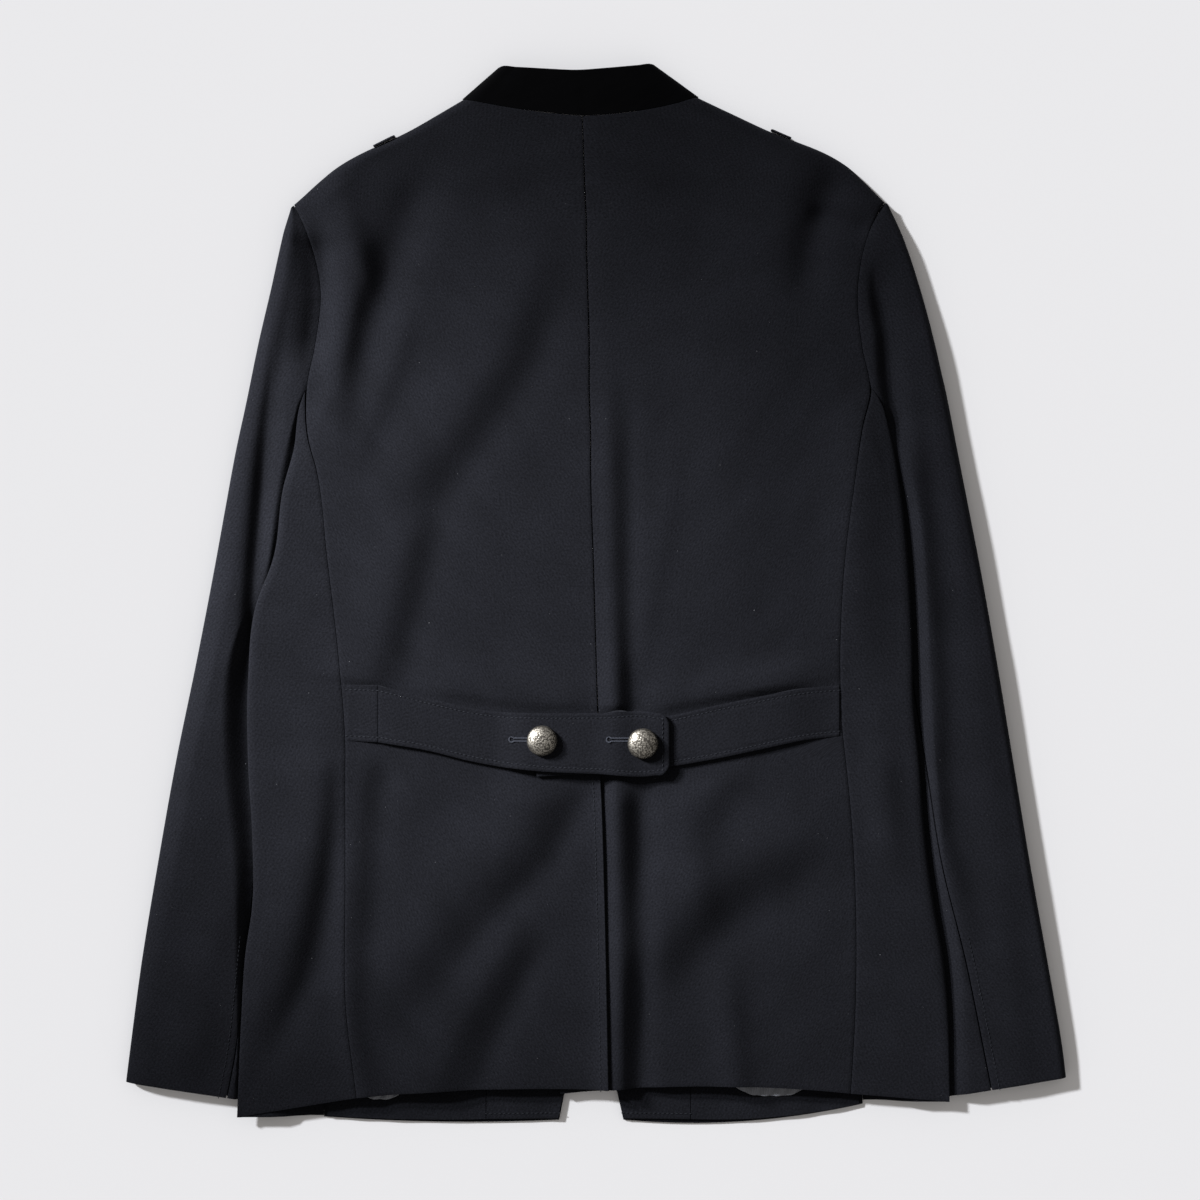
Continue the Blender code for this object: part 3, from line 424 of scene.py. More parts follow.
# A cloth's material, its slot and the word that ends the names of its pieces.
Cloth = namedtuple("Cloth", "material slot word")
WOOL = Cloth(new_material("fulled_wool_twill", wool_twill), "wool", "cloth")
EDGE_BEVEL = 0.25
EDGE_BEVEL_ANGLE = math.radians(50)


def new_object(name, data):
    """Object in the scene with the given data."""
    made = bpy.data.objects.new(name, data)
    bpy.context.scene.collection.objects.link(made)
    return made


def made_plain(piece, material):
    """Turn an object's evaluated shape into its plain mesh, shaded smooth, with one material."""
    ready = piece.evaluated_get(bpy.context.evaluated_depsgraph_get())
    mesh = bpy.data.meshes.new_from_object(ready)
    piece.modifiers.clear()
    piece.data = mesh
    mesh.materials.clear()
    mesh.materials.append(material)
    mesh.shade_smooth()


def cloth_piece(node, grid, facing=UP, wall=WALL, cloth=WOOL):
    """Sheet of cloth that stands for a solid: its outer face is on a grid of points in millimetres, with a
    wall behind it and soft edges."""
    name = f"{node}_{cloth.word}"
    rows, columns = grid.shape[:2]
    corner = np.arange((rows - 1) * columns).reshape(rows - 1, columns)[:, :-1].ravel()
    faces = np.stack([corner, corner + 1, corner + columns + 1, corner + columns], axis=1)
    points = grid.reshape(-1, 3) * MM
    first, second, third = (points[faces[:, index]] for index in (0, 1, 2))
    if np.cross(second - first, third - first).sum(axis=0).dot(facing) < 0:
        faces = faces[:, ::-1]
    mesh = bpy.data.meshes.new(name)
    mesh.from_pydata(points.tolist(), [], faces.tolist())
    across = np.linalg.norm(np.diff(grid, axis=1, prepend=grid[:, :1]), axis=2).cumsum(axis=1)
    along = np.linalg.norm(np.diff(grid, axis=0, prepend=grid[:1]), axis=2).cumsum(axis=0)
    across -= across[:, columns // 2:columns // 2 + 1]
    flat = np.dstack([across, along]).reshape(-1, 2) * MM
    layer = mesh.uv_layers.new(name="cloth")
    layer.data.foreach_set("uv", flat[faces.ravel()].ravel())
    piece = new_object(name, mesh)
    solidify = piece.modifiers.new("wall", "SOLIDIFY")
    solidify.thickness = wall * MM
    solidify.offset = -1
    bevel = piece.modifiers.new("edges", "BEVEL")
    bevel.width = EDGE_BEVEL * MM
    bevel.segments = 2
    bevel.limit_method = "ANGLE"
    bevel.angle_limit = EDGE_BEVEL_ANGLE
    made_plain(piece, cloth.material)
    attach(piece, "root")
    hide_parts(node)


def back_grid(panel, side):
    """Points of a back panel, from its outer edge to the centre seam or the end of the underlap."""
    row = PanelRow(*panel_rows(panel, SPACING).T[:, :, None])
    width = np.abs(row.inner_x - row.outer_x)
    distance = steps_across(width - SEAM / 2 * (1 - row.lap) + UNDERLAP * row.lap, SPACING)
    offset = width - distance
    share = 1 - offset / width
    x = row.inner_x + side * offset
    y = between(row.inner_y, row.outer_y, 1 - share) + bowed(row.bow, share)
    z = back_height(x, y) - seam_dip(distance, y)
    z -= row.drop * VENT_DROP * (1 - smooth_step((offset - VENT_RISE_START) / VENT_RISE_RUN))
    centre = seam_dip(np.maximum(offset, 0), y)
    if side > 0:
        centre += CENTRE_STEP * bell(offset / CENTRE_STEP_RUN)
    z -= centre * smooth_step((y - VENT_TOP) / SPACING)
    return np.dstack([x, y, z])


BACK_LEFT_GRID = back_grid(BACK_LEFT, -1)
BACK_RIGHT_GRID = back_grid(BACK_RIGHT, 1)
cloth_piece("back_left", BACK_LEFT_GRID)
cloth_piece("back_right", BACK_RIGHT_GRID)


# Side panels: wool twill, sewn to the back at the princess seam, folded round the side of the jacket and
# sewn to the front on its lower side.
UNDERARM_EASE = 1.2
FOLD_RUN = 5.0
TUCK_RUN = 24.0
FLOOR_RUN = 52.0
SIDE_SEAM_RUN = 62.0
UNDER_STEPS = np.array(
    (0.4, 1.2, 2.5, 4.0, 7.0, 12.0, 18.0, TUCK_RUN, 33.0, 43.0, FLOOR_RUN, SIDE_SEAM_RUN)
)


def side_grid(table, panel, side):
    """Points of a side panel: over the top to the side fold, then under to the front seam."""
    row = SideRow(*rows_through(table, SIDE_PLACES, SPACING).T[:, :, None])
    seam = panel_rows(panel, SPACING)[::-1]
    ease = SEAM + UNDERARM_EASE * (1 - row.under)
    width = np.abs(row.edge_x - np.interp(row.seam_y, seam[:, 3], seam[:, 2])) - ease
    step = steps_across(width, SPACING)[:, ::-1]
    x = row.edge_x - side * step
    y = between(row.edge_y, row.seam_y, step / (width + ease))
    z = back_height(x, y) - seam_dip(width - step, y)
    turned = between(FOLD_MID, FOLD_LOW, quarter_round(UNDER_STEPS / FOLD_RUN))
    under_x = row.edge_x - side * UNDER_STEPS * row.under
    under_z = turned * (1 - smooth_step(UNDER_STEPS, TUCK_RUN, FLOOR_RUN))
    under = np.dstack(np.broadcast_arrays(under_x, row.edge_y, under_z))
    return np.hstack([np.dstack([x, y, z]), under])


for word, table, panel, side in (("left", SIDE_LEFT, BACK_LEFT, -1), ("right", SIDE_RIGHT, BACK_RIGHT, 1)):
    grid = side_grid(table, panel, side)
    cloth_piece(f"side_{word}", grid, (side, 0, 0))


# Fronts: wool twill panels, face down on the surface, with the neck and armhole cut like the back's.
# Only their hems show, below the hem of the back.
FRONT_SPACING = 8.0
FRONT_LEFT = rows_of(
    PanelRow,
    (-19, 282, -95, 354, -16), (-19, 272, -134, 335), (-19, 262, -190, 305), (-19, 254, -216, 279),
    (-19, 254, -216, 279), (-19, 244, -208.5, 261), (-19, 217, -199.8, 221), (-19, 180, -204, 180),
    (-19, 150, -208, 152),
)
FRONT_RIGHT = rows_of(
    PanelRow,
    (11, 282, 72, 356, -16), (11, 272, 122, 335), (11, 262, 184, 305), (11, 254, 206, 281),
    (11, 254, 206, 281), (11, 245, 197.5, 264), (11, 217, 188.8, 221), (11, 180, 192, 180),
    (11, 150, 196, 155),
)
FrontHem = namedtuple("FrontHem", "edge_x edge_y side_y bow")
FRONT_LEFT_HEM = FrontHem(-27, -384.7, -382.3, -2.6)
FRONT_RIGHT_HEM = FrontHem(20, -384.7, -373, -7)
FRONT_EDGE_TURN = -345.0


def front_edge(panel, hem, y):
    """Place across of the front edge of a front: straight, then slanting back to the corner of its hem."""
    slant = np.clip((FRONT_EDGE_TURN - y) / (FRONT_EDGE_TURN - hem.edge_y), 0, 1)
    return between(panel[-1].inner_x, hem.edge_x, slant)


def front_grid(panel, hem, side_table, side):
    """Points of the lower face of a front: neck to armhole by its table, then level with the side panel."""
    upper = panel_rows(panel, FRONT_SPACING)
    fold = SideRow(*rows_through(side_table, SIDE_PLACES, FRONT_SPACING).T)
    seam_x = fold.edge_x - side * (SIDE_SEAM_RUN * fold.under + SEAM)
    lower = [PanelRow(front_edge(panel, hem, y), y, x, y) for x, y in zip(seam_x, fold.edge_y)]
    lower[-1] = PanelRow(hem.edge_x, hem.edge_y, seam_x[-1], hem.side_y, hem.bow)
    row = PanelRow(*np.vstack([upper, lower]).T[:, :, None])
    width = np.abs(row.outer_x - row.inner_x)
    share = steps_across(width, FRONT_SPACING) / width
    x = between(row.inner_x, row.outer_x, share)
    y = between(row.inner_y, row.outer_y, share) + bowed(row.bow, share)
    return np.dstack([x, y, np.zeros_like(x)])


for word, panel, hem, table, side in (
    ("left", FRONT_LEFT, FRONT_LEFT_HEM, SIDE_LEFT, -1),
    ("right", FRONT_RIGHT, FRONT_RIGHT_HEM, SIDE_RIGHT, 1),
):
    cloth_piece(f"front_{word}", front_grid(panel, hem, table, side), DOWN)


# Inside of the front hems, seen below the back hem: a self facing along each front edge, the turned-up wool
# hem beside it and, above that, the start of the lining. Hem and facing are pressed and stitched down.
FACING_WALL = 1.5
LINING_WALL = 1.0
STRIP_SPACING = 2.5
HEM_WAVE = 0.5
HEM_WAVE_LENGTH = 34.0
LINING_WAVE = 2.2
LINING_WAVE_LENGTH = 9.0
# The ripples lean to and fro by so much, over such a length, and drift by a slow wave across the hem.
RIPPLE_LEAN = 6
RIPPLE_LEAN_LENGTH = 9
RIPPLE_DRIFT = 2
RIPPLE_DRIFT_LENGTH = 29
InsideStrip = namedtuple("InsideStrip", "name x0 x1 low0 low1 high wall bow", defaults=(0,))
Dip = namedtuple("Dip", "x reach depth")
HEM_DIPS = (Dip(-157.0, 15.0, 7.5), Dip(128.0, 25.0, 9.0))
INSIDE_STRIPS = rows_of(
    InsideStrip,
    ("front_facing_left", -80, -27.6, -384, -383.5, -310, FACING_WALL),
    ("front_facing_right", 20.6, 69, -383.5, -384, -310, FACING_WALL),
    ("front_hem_left", -196, -80.4, -381.5, -384, -362.5, FACING_WALL, -1.4),
    ("front_hem_right", 69.4, 192, -384, -373, -358.5, FACING_WALL, -4),
    ("front_lining_left", -190, -80.4, -362, -362, -318, LINING_WALL),
    ("front_lining_right", 69.4, 184, -358, -358, -318, LINING_WALL),
)

# Twill-woven viscose satin: smooth and silvery, with a soft gloss that runs along its ripples.
SATIN_DARK = "#5B5E67"
SATIN_LIGHT = "#74777F"
SATIN_THREAD = 0.0012
SATIN_DISTORTION = 1.0
SATIN_RELIEF = 0.0001
SATIN_RELIEF_STRENGTH = 0.25
SATIN_ROUGHNESS = 0.34


def lining_satin(tree):
    """Shader inputs of the lining."""
    place = add_node(tree, "ShaderNodeUVMap", {}, uv_map="cloth")["UV"]
    wave = {"Vector": place, "Scale": WAVE_PERIOD / SATIN_THREAD, "Distortion": SATIN_DISTORTION}
    thread = add_node(tree, "ShaderNodeTexWave", wave)["Fac"]
    bump = relief(tree, thread, SATIN_RELIEF_STRENGTH, SATIN_RELIEF)
    tint = blend(tree, thread, SATIN_DARK, SATIN_LIGHT)
    return {"Base Color": tint, "Normal": bump, "Roughness": SATIN_ROUGHNESS}


SATIN = Cloth(new_material("viscose_satin", lining_satin), "lining", "cloth")


def strip_grid(strip):
    """Points of the lower face of a strip inside a front, with the slight waves of a pressed edge."""
    lining = "lining" in strip.name
    length = strip.x1 - strip.x0
    share = steps_across(np.array([[length]]), STRIP_SPACING)[0] / length
    x = strip.x0 + length * share
    low = between(strip.low0, strip.low1, share) + bowed(strip.bow, share)
    high = np.full_like(x, strip.high)
    dipped = sum(dip.depth * np.exp(-((x - dip.x) / dip.reach) ** 4) for dip in HEM_DIPS)
    if "hem" in strip.name:
        high -= dipped
    if lining:
        low -= dipped
    level = steps_across(np.array([[1.0]]), STRIP_SPACING / (strip.high - strip.low0)).T
    y = between(low, high, level)
    x = np.broadcast_to(x, y.shape)
    if strip.name == "front_facing_left":
        x = x + (front_edge(FRONT_LEFT, FRONT_LEFT_HEM, y) - FRONT_LEFT_HEM.edge_x) * share
    if strip.name == "front_facing_right":
        x = x + (front_edge(FRONT_RIGHT, FRONT_RIGHT_HEM, y) - FRONT_RIGHT_HEM.edge_x) * (1 - share)
    wave, wave_length = (LINING_WAVE, LINING_WAVE_LENGTH) if lining else (HEM_WAVE, HEM_WAVE_LENGTH)
    lean = x + RIPPLE_LEAN * np.sin(y / RIPPLE_LEAN_LENGTH)
    drift = RIPPLE_DRIFT * np.sin(lean / RIPPLE_DRIFT_LENGTH)
    ripple = wave / 2 * (1 + np.sin(2 * math.pi * lean / wave_length + drift))
    return np.dstack([x, y, WALL + SEAM + ripple])


STRIP_GRIDS = {}
for strip in INSIDE_STRIPS:
    grid = strip_grid(strip)
    STRIP_GRIDS[strip.name] = grid
    cloth_piece(strip.name, grid, DOWN, strip.wall, SATIN if "lining" in strip.name else WOOL)


# Sleeves: two pieces each, upper and under, joined by the elbow seam on the side that shows and by the
# front seam below. Each lies as a flat tube that goes in under the side of the body.
SleeveRow = namedtuple("SleeveRow", "outer_x outer_y inner_x inner_y seam_x wrap tuck start crown rise")
SLEEVE_LEFT = rows_of(
    SleeveRow,
    (-222.3, 280.2, -219.8, 282.1, -219.8, 0, 0, 9.1, 9.3, 12),
    (-228, 261, -210.5, 261, -210.5, 0, 0, 12.4, 12.8, 12),
    (-237, 221, -201.5, 221, -201.5, 0, 0, 13.2, 14.0, 12),
    (-246.5, 180, -205.5, 180, -205.5, 0, 0, 13.0, 14.0, 12),
    (-251, 158, -209, 158, -209, 0, 0, 12.9, 13.2, 8),
    (-253, 148, -209.4, 148, -209.8, 0, 0, 12.4, 12.8, 4),
    (-255.5, 136, -208.8, 136, -212, 0, 4.5, 8.6, 12.4, 3.5),
    (-262, 106, -207, 106, -216, 0.3, 10.8, 8.5, 12.2, 8),
    (-270.5, 60, -213, 60, -222, 1, 14.9, 8.4, 12.3, 7),
    (-277, 24, -220, 24, -229, 1, 13.2, 8.3, 12.8, 6), (-291, -49, -234, -49, -241, 1, 17, 8.0, 14.6, 17),
    (-306, -122, -236, -122, -246, 1, 16, 8.0, 15.0, 19),
    (-319, -195, -233, -195, -249, 1, 16, 8.0, 14.6, 15),
    (-331, -268, -237, -268, -255, 1, 17, 8.0, 13.8, 8),
    (-339.5, -332, -243, -338, -263, 1, 15, 8.0, 13.0, 3),
    (-342.5, -356, -244, -371, -269, 1, 16, 8.0, 12.0, 3),
)
SLEEVE_RIGHT = rows_of(
    SleeveRow,
    (212.8, 283.0, 209.9, 284.2, 209.9, 0, 0, 8.4, 8.6, 12),
    (221.8, 264, 199.5, 264, 199.5, 0, 0, 12.4, 12.8, 12),
    (236.5, 221, 190.5, 221, 190.5, 0, 0, 13.2, 14.0, 12),
    (247.4, 180, 193.5, 180, 193.5, 0, 0, 13.0, 14.2, 12),
    (252.4, 158, 197.4, 158, 197.4, 0, 0, 12.9, 13.6, 8),
    (254.4, 149.5, 198.6, 149.5, 198.8, 0, 0, 12.4, 13.2, 4),
    (257, 137, 200.4, 137, 203, 0, 5.1, 8.6, 13.0, 5), (263, 106, 202, 106, 211, 0.3, 12, 8.4, 13.6, 9),
    (272, 60, 207, 60, 216.5, 1, 17, 8.1, 14.8, 11), (279, 24, 212, 24, 221, 1, 16, 8.0, 15.0, 11),
    (292, -49, 214, -49, 229, 1, 19, 8.0, 15.0, 9), (304, -122, 217, -122, 240, 1, 20, 8.0, 15.0, 9),
    (316, -195, 223, -195, 251, 1, 20, 8.0, 15.0, 10), (329, -268, 235, -268, 269, 1, 19, 8.0, 14.5, 12),
    (340, -332, 241, -340, 283, 1, 17, 8.0, 13.0, 12),
    (342.5, -352.5, 242, -369, 288, 1, 17, 8.0, 12.0, 12),
)
SLEEVE_RIM = 6.5
SLEEVE_SPACING = 1.6
SLEEVE_TOP_ROLL = {-1: 16.0, 1: 5.0}
SLEEVE_LOW_ROLL = 9.0
SLEEVE_LOW_SHARE = 0.4
SLEEVE_LOW_STEPS = np.array((0.03, 0.1, 0.22, 0.4, 0.7, 1.0))
FRONT_SEAM_RUN = 12.0
FRONT_SEAM_SHARE = 0.7
UNDER_COLUMNS = 4
CURL_RADIUS = 4.0
CURL_TURNS = np.radians(np.arange(15, 181, 15))
CURL_FLAT_STEP = 0.8
FLAP_PARTS = np.array((0.1, 0.22, 0.35, 0.48, 0.6, 0.72, 0.82, 0.9, 0.95, 0.98, 1.0))
BACK_SEAM = 0.8
UNDERARM = (147.0, 153.0)
SLEEVE_CREASES = rows_of(
    Crease,
    (2.0, 8, 0.2, ((-222, 292), (-227, 250), (-231, 220), (-235, 180), (-240, 130))),
    (-3.2, 8, -0.2, ((-229, 264), (-232, 195), (-236, 150), (-240, 106), (-244, 62), (-248, 16),
     (-253, -120))),
    (-2.4, 8, -0.1, ((-238, 150), (-243, 80), (-248, 20), (-252, -40), (-255, -130))),
    (2.4, 24, 0.1, ((-250, 60), (-272, -60), (-290, -150), (-306, -260))),
    (1.8, 20, 0.2, ((-262, -190), (-284, -270), (-302, -380))),
    (3.8, 8.5, -0.15, ((216, 210), (225, 147), (231.5, 77), (236.6, 29), (240.6, -18), (244.5, -78),
     (244.5, -136), (248, -174), (258, -205), (271, -250), (282, -300))),
    (-7.0, 9.5, -0.3, ((200, 250), (206, 215), (211, 190), (213, 160), (217, 130), (224, 80))),
    (1.8, 16, 0.1, ((266, 20), (276, -80), (294, -190), (306, -280))),
    (1.4, 15, 0.2, ((284, -210), (302, -290), (314, -390))),
    (2.2, 9, 0.0, ((234, 250), (240, 200), (246, 155), (253, 110), (264, 40), (276, -40))),
)


def sleeve_place(row, side, width, step):
    """Place on the page of points of a sleeve at given distances in from its outer fold."""
    return row.outer_x - side * step, between(row.outer_y, row.inner_y, step / width)


def sleeve_top(row, side, width, step):
    """Height of the upper face of a sleeve at given distances in from its outer fold."""
    x, y = sleeve_place(row, side, width, step)
    risen = smooth_step((width - step - row.tuck) / np.minimum(row.rise, width / 2))
    roll = np.minimum(SLEEVE_TOP_ROLL[side], width / 2)
    folds = crease_height(SLEEVE_CREASES, x, y) + wrinkle_height(x, y)
    folds = folds * risen * smooth_step(step / roll) + crease_height(ARMHOLE_CREASES, x, y)
    return between(SLEEVE_RIM, between(row.start, row.crown, risen), quarter_round(step / roll)) + folds


def sleeve_grids(table, outline, side):
    """Points of the upper and the under piece of one sleeve, sewn to the armhole above the underarm."""
    row = SleeveRow(*rows_through(table, PANEL_PLACES, SPACING).T[:, :, None])
    armhole = np.interp(row.inner_y, *outline) + side * SEAM
    sewn = smooth_step(row.inner_y, *UNDERARM)
    inner_x, seam_x = (between(x, armhole, sewn) for x in (row.inner_x, row.seam_x))
    row = row._replace(inner_x=inner_x, seam_x=seam_x)
    width = np.abs(row.outer_x - row.inner_x)
    to_seam = np.abs(row.outer_x - row.seam_x)
    front_seam = np.minimum(FRONT_SEAM_RUN, FRONT_SEAM_SHARE * width)
    step = steps_across(to_seam, SLEEVE_SPACING)[:, ::-1]
    top_z = sleeve_top(row, side, width, step) - seam_dip(to_seam - step, row.outer_y)
    low_roll = np.minimum(SLEEVE_LOW_ROLL, SLEEVE_LOW_SHARE * width)
    low_z = SLEEVE_RIM * (1 - quarter_round(SLEEVE_LOW_STEPS)) + 0 * width
    steps = np.hstack([step, low_roll * SLEEVE_LOW_STEPS, front_seam])
    upper = np.dstack([*sleeve_place(row, side, width, steps), np.hstack([top_z, low_z, 0 * width])])

    wrap = np.clip(row.wrap, 0, 1)
    start = front_seam + SEAM
    folded = len(CURL_TURNS) + len(FLAP_PARTS)
    flat_step = np.minimum(CURL_FLAT_STEP, (width - start) / (2 * folded))
    curl_start = width - CURL_RADIUS * wrap - flat_step * folded * (1 - wrap)
    floor_steps = between(start, curl_start, np.arange(UNDER_COLUMNS + 1) / UNDER_COLUMNS)
    flat = curl_start + flat_step * np.arange(1, folded + 1)
    curl = width - CURL_RADIUS + CURL_RADIUS * np.sin(CURL_TURNS)
    flap_end = to_seam + BACK_SEAM
    flap = between(width - CURL_RADIUS, flap_end, FLAP_PARTS)
    curl_z = row.start / 2 * (1 - np.cos(CURL_TURNS))
    flap_z = sleeve_top(row, side, width, flap) - seam_dip(flap - flap_end, row.outer_y)
    steps = np.hstack([floor_steps, between(flat, np.hstack([curl, flap]), wrap)])
    heights = np.hstack([0 * floor_steps, wrap * np.hstack([curl_z, flap_z])])
    return upper, np.dstack([*sleeve_place(row, side, width, steps), heights])


SLEEVE_GRIDS = {}
for word, table, outline, side in (
    ("left", SLEEVE_LEFT, LEFT_OUTLINE, -1),
    ("right", SLEEVE_RIGHT, RIGHT_OUTLINE, 1),
):
    upper, under = sleeve_grids(table, outline, side)
    SLEEVE_GRIDS[word] = upper
    cloth_piece(f"sleeve_{word}_upper", upper)
    cloth_piece(f"sleeve_{word}_under", under, DOWN)


# Stand collar: one band of cotton velvet on a stiff interlining, sewn to the neck seam and flattened to a
# loop that is open at the front.
VELVET_WALL = 3.0
COLLAR_HEIGHT = 40.0
COLLAR_SPACING = 3.0
COLLAR_PUFF = 0.9
COLLAR_SEWN = (9.5, 12.5)
COLLAR_RAISED = (8, 14)
CollarRow = namedtuple("CollarRow", "neck_x neck_y top_x top_y neck_z top_z")
COLLAR = rows_of(
    CollarRow,
    (-19, 284, -19, 322, 0, 0), (-62, 306, -48, 345, 0, 0), (-89, 345, -64, 377, 0, 0),
    (-95.2, 358.6, -69.8, 381.8, 3, 3), (-97.4, 359.8, -71, 382.6, 7, 8),
    (-93.6, 359.2, -68.6, 382.8, 10.5, 13), (-80, 355.2, -58, 381.7, 13, 16.5),
    (-41, 350.5, -36, 380.2, 14, 18), (-11, 347.3, -15, 379.2, 14, 18.5), (22, 350.1, 6, 380.6, 14, 18),
    (56, 356.3, 30.5, 383, 13, 16.5), (70.4, 360.2, 40.4, 384.4, 10.5, 13),
    (74.8, 361.3, 42.8, 384.2, 7, 8), (72.6, 360, 41.6, 383.2, 3, 3), (67, 348, 38, 378, 0, 0),
    (42, 306, 28, 345, 0, 0), (11, 284, 11, 322, 0, 0),
)
COLLAR_PLACES = ((0, 1), (4,))

# Cut-pile cotton velvet: the pile takes in almost all light from above and shines only where it leans away.
VELVET_DARK = "#020203"
VELVET_LIGHT = "#040405"
VELVET_RELIEF = 0.0003
VELVET_RELIEF_STRENGTH = 0.6
VELVET_SURFACE = {
    "Roughness": 1.0, "Specular IOR Level": 0.04, "Sheen Weight": 0.08, "Sheen Roughness": 0.3,
    "Sheen Tint": linear("#6B6C74"),
}
PILE_SIZE = 0.0009
PILE_PATCH = 0.012


def cotton_velvet(tree):
    """Shader inputs of the collar."""
    place = add_node(tree, "ShaderNodeUVMap", {}, uv_map="cloth")["UV"]
    tint = blend(tree, grain_of(tree, place, PILE_PATCH, detail=2.0), VELVET_DARK, VELVET_LIGHT)
    pile = grain_of(tree, place, PILE_SIZE, detail=3.0)
    bump = relief(tree, pile, VELVET_RELIEF_STRENGTH, VELVET_RELIEF)
    return {"Base Color": tint, "Normal": bump, **VELVET_SURFACE}


def collar_grid():
    """Points of the outer face of the collar, from its left front end round the back to the right one."""
    row = CollarRow(*rows_through(COLLAR, COLLAR_PLACES, COLLAR_SPACING).T[:, :, None])
    neck = np.concatenate([BACK_LEFT_GRID[0], BACK_RIGHT_GRID[0, ::-1]])
    sewn_y = np.interp(row.neck_x, neck[:, 0], neck[:, 1]) + SEAM / 2
    sewn_z = np.interp(row.neck_x, neck[:, 0], neck[:, 2]) + SEAM
    sewn = smooth_step(row.neck_z, *COLLAR_SEWN)
    neck_y = between(row.neck_y, sewn_y, sewn)
    neck_z = np.maximum(between(row.neck_z, sewn_z, sewn), 0)
    share = steps_across(np.array([[COLLAR_HEIGHT]]), COLLAR_SPACING) / COLLAR_HEIGHT
    x = between(row.neck_x, row.top_x, share)
    y = between(neck_y, row.top_y, share)
    z = between(neck_z, np.maximum(row.top_z, 0), share)
    puff = smooth_step(z, *COLLAR_RAISED) * COLLAR_PUFF * np.sin(math.pi * share)
    return np.dstack([x, y, z + puff])


VELVET = Cloth(new_material("cotton_velvet", cotton_velvet), "velvet", "velvet")
cloth_piece(
    "collar", collar_grid(), DOWN, VELVET_WALL, VELVET
)


# Shoulder straps: doubled wool on the front of each shoulder. From the back only the end near the neck
# stands out a little beyond the shoulder edge; the rest goes in behind it.
STRAP_WALL = 1.0
STRAP_CLEAR = 0.6
STRAP_REACH = 2.4
STRAP_TAPER = 0.7
STRAP_ROUND = 3.0
STRAP_LEFT = (-146.0, -162.0)
STRAP_RIGHT = (127.0, 142.0)
STRAP_STEPS = 30
STRAP_TURNS = np.radians(np.arange(0, 46, 5))


def strap_grid(panel, span):
    """Points of the end of a strap: the shoulder edge moved out square to itself, most near the neck."""
    edge = EDGES[0]
    rise = edge.crown - edge.rim
    shoulder = rows_through(stretches_of(panel)[0], PANEL_PLACES, SPACING)[:, 2:4]
    share = np.linspace(0, 1, STRAP_STEPS + 1)
    x = between(*span, share)
    line = np.stack([x, np.interp(np.abs(x), np.abs(shoulder[:, 0]), shoulder[:, 1])], axis=1)
    run = (line[-1] - line[0]) / np.linalg.norm(line[-1] - line[0])
    outward = np.array((-run[1], run[0])) * np.sign(span[0])
    roll = edge.roll * abs(outward[0])
    normal = np.stack([np.cos(STRAP_TURNS) / roll, np.sin(STRAP_TURNS) / rise])
    normal = normal / np.linalg.norm(normal, axis=0)
    least = STRAP_CLEAR + STRAP_WALL
    rounded = quarter_round(share * abs(span[1] - span[0]) / STRAP_ROUND)
    reach = between(least, STRAP_REACH - STRAP_TAPER * share, rounded)[:, None]
    out = np.hstack([reach, reach * normal[0] - roll * (1 - np.cos(STRAP_TURNS))])
    height = np.hstack([0 * reach + SEAM, edge.rim + rise * np.sin(STRAP_TURNS) + reach * normal[1]])
    return np.dstack([line[:, None, :] + outward * out[:, :, None], height])


for word, panel, span in (("left", BACK_LEFT, STRAP_LEFT), ("right", BACK_RIGHT, STRAP_RIGHT)):
    grid = strap_grid(panel, span)
    facing = (np.sign(span[0]), 0.5, 0)
    cloth_piece(f"epaulette_{word}", grid, facing, STRAP_WALL)


# Half belt: doubled wool tabs, topstitched along their edges and caught in the side seams. The left one is
# pieced near its seam, laps over the right one and is held by two buttons.
BELT_WALL = 3.0
BELT_SPACING = 2.0
BELT_LAP = 3.4
BELT_LAP_START = -75.0
BELT_LAP_RUN = 28.0
BELT_CLEAR = 0.5
BELT_STITCH_IN = 3.6
BELT_GROOVE = 0.45
BELT_GROOVE_RUN = 1.1
BELT_EDGE_DROP = 0.5
BELT_EDGE_RUN = 0.9
BELT_SEWN_DROP = 2.8
BELT_SEWN_RUN = 40.0
BeltRow = namedtuple("BeltRow", "x high low")
BELT_LEFT_END = rows_of(
    BeltRow,
    (-181, -66.5, -107.3), (-158.4, -67.2, -108.3),
)
BELT_LEFT = rows_of(
    BeltRow,
    (-158, -67.2, -108.3), (-121, -76.5, -114.5), (-93, -83, -121.5), (-72, -86, -125.5),
    (-47, -87, -128.5), (1, -87, -131), (43, -87, -132), (50, -89, -130.5), (53, -94, -126),
)
BELT_RIGHT = rows_of(
    BeltRow,
    (-43, -91, -133), (0, -91, -131), (53, -89, -126), (85, -82, -120.5), (119, -75, -113.5),
    (153, -69, -106.5), (176.5, -67, -104),
)


def belt_top(x, y, lap):
    """Height of a belt tab on the back, raised by a lap where it lies on the other tab."""
    raised = lap * smooth_step((x - BELT_LAP_START) / BELT_LAP_RUN)
    return back_height(x, y) + BELT_CLEAR + BELT_WALL + raised


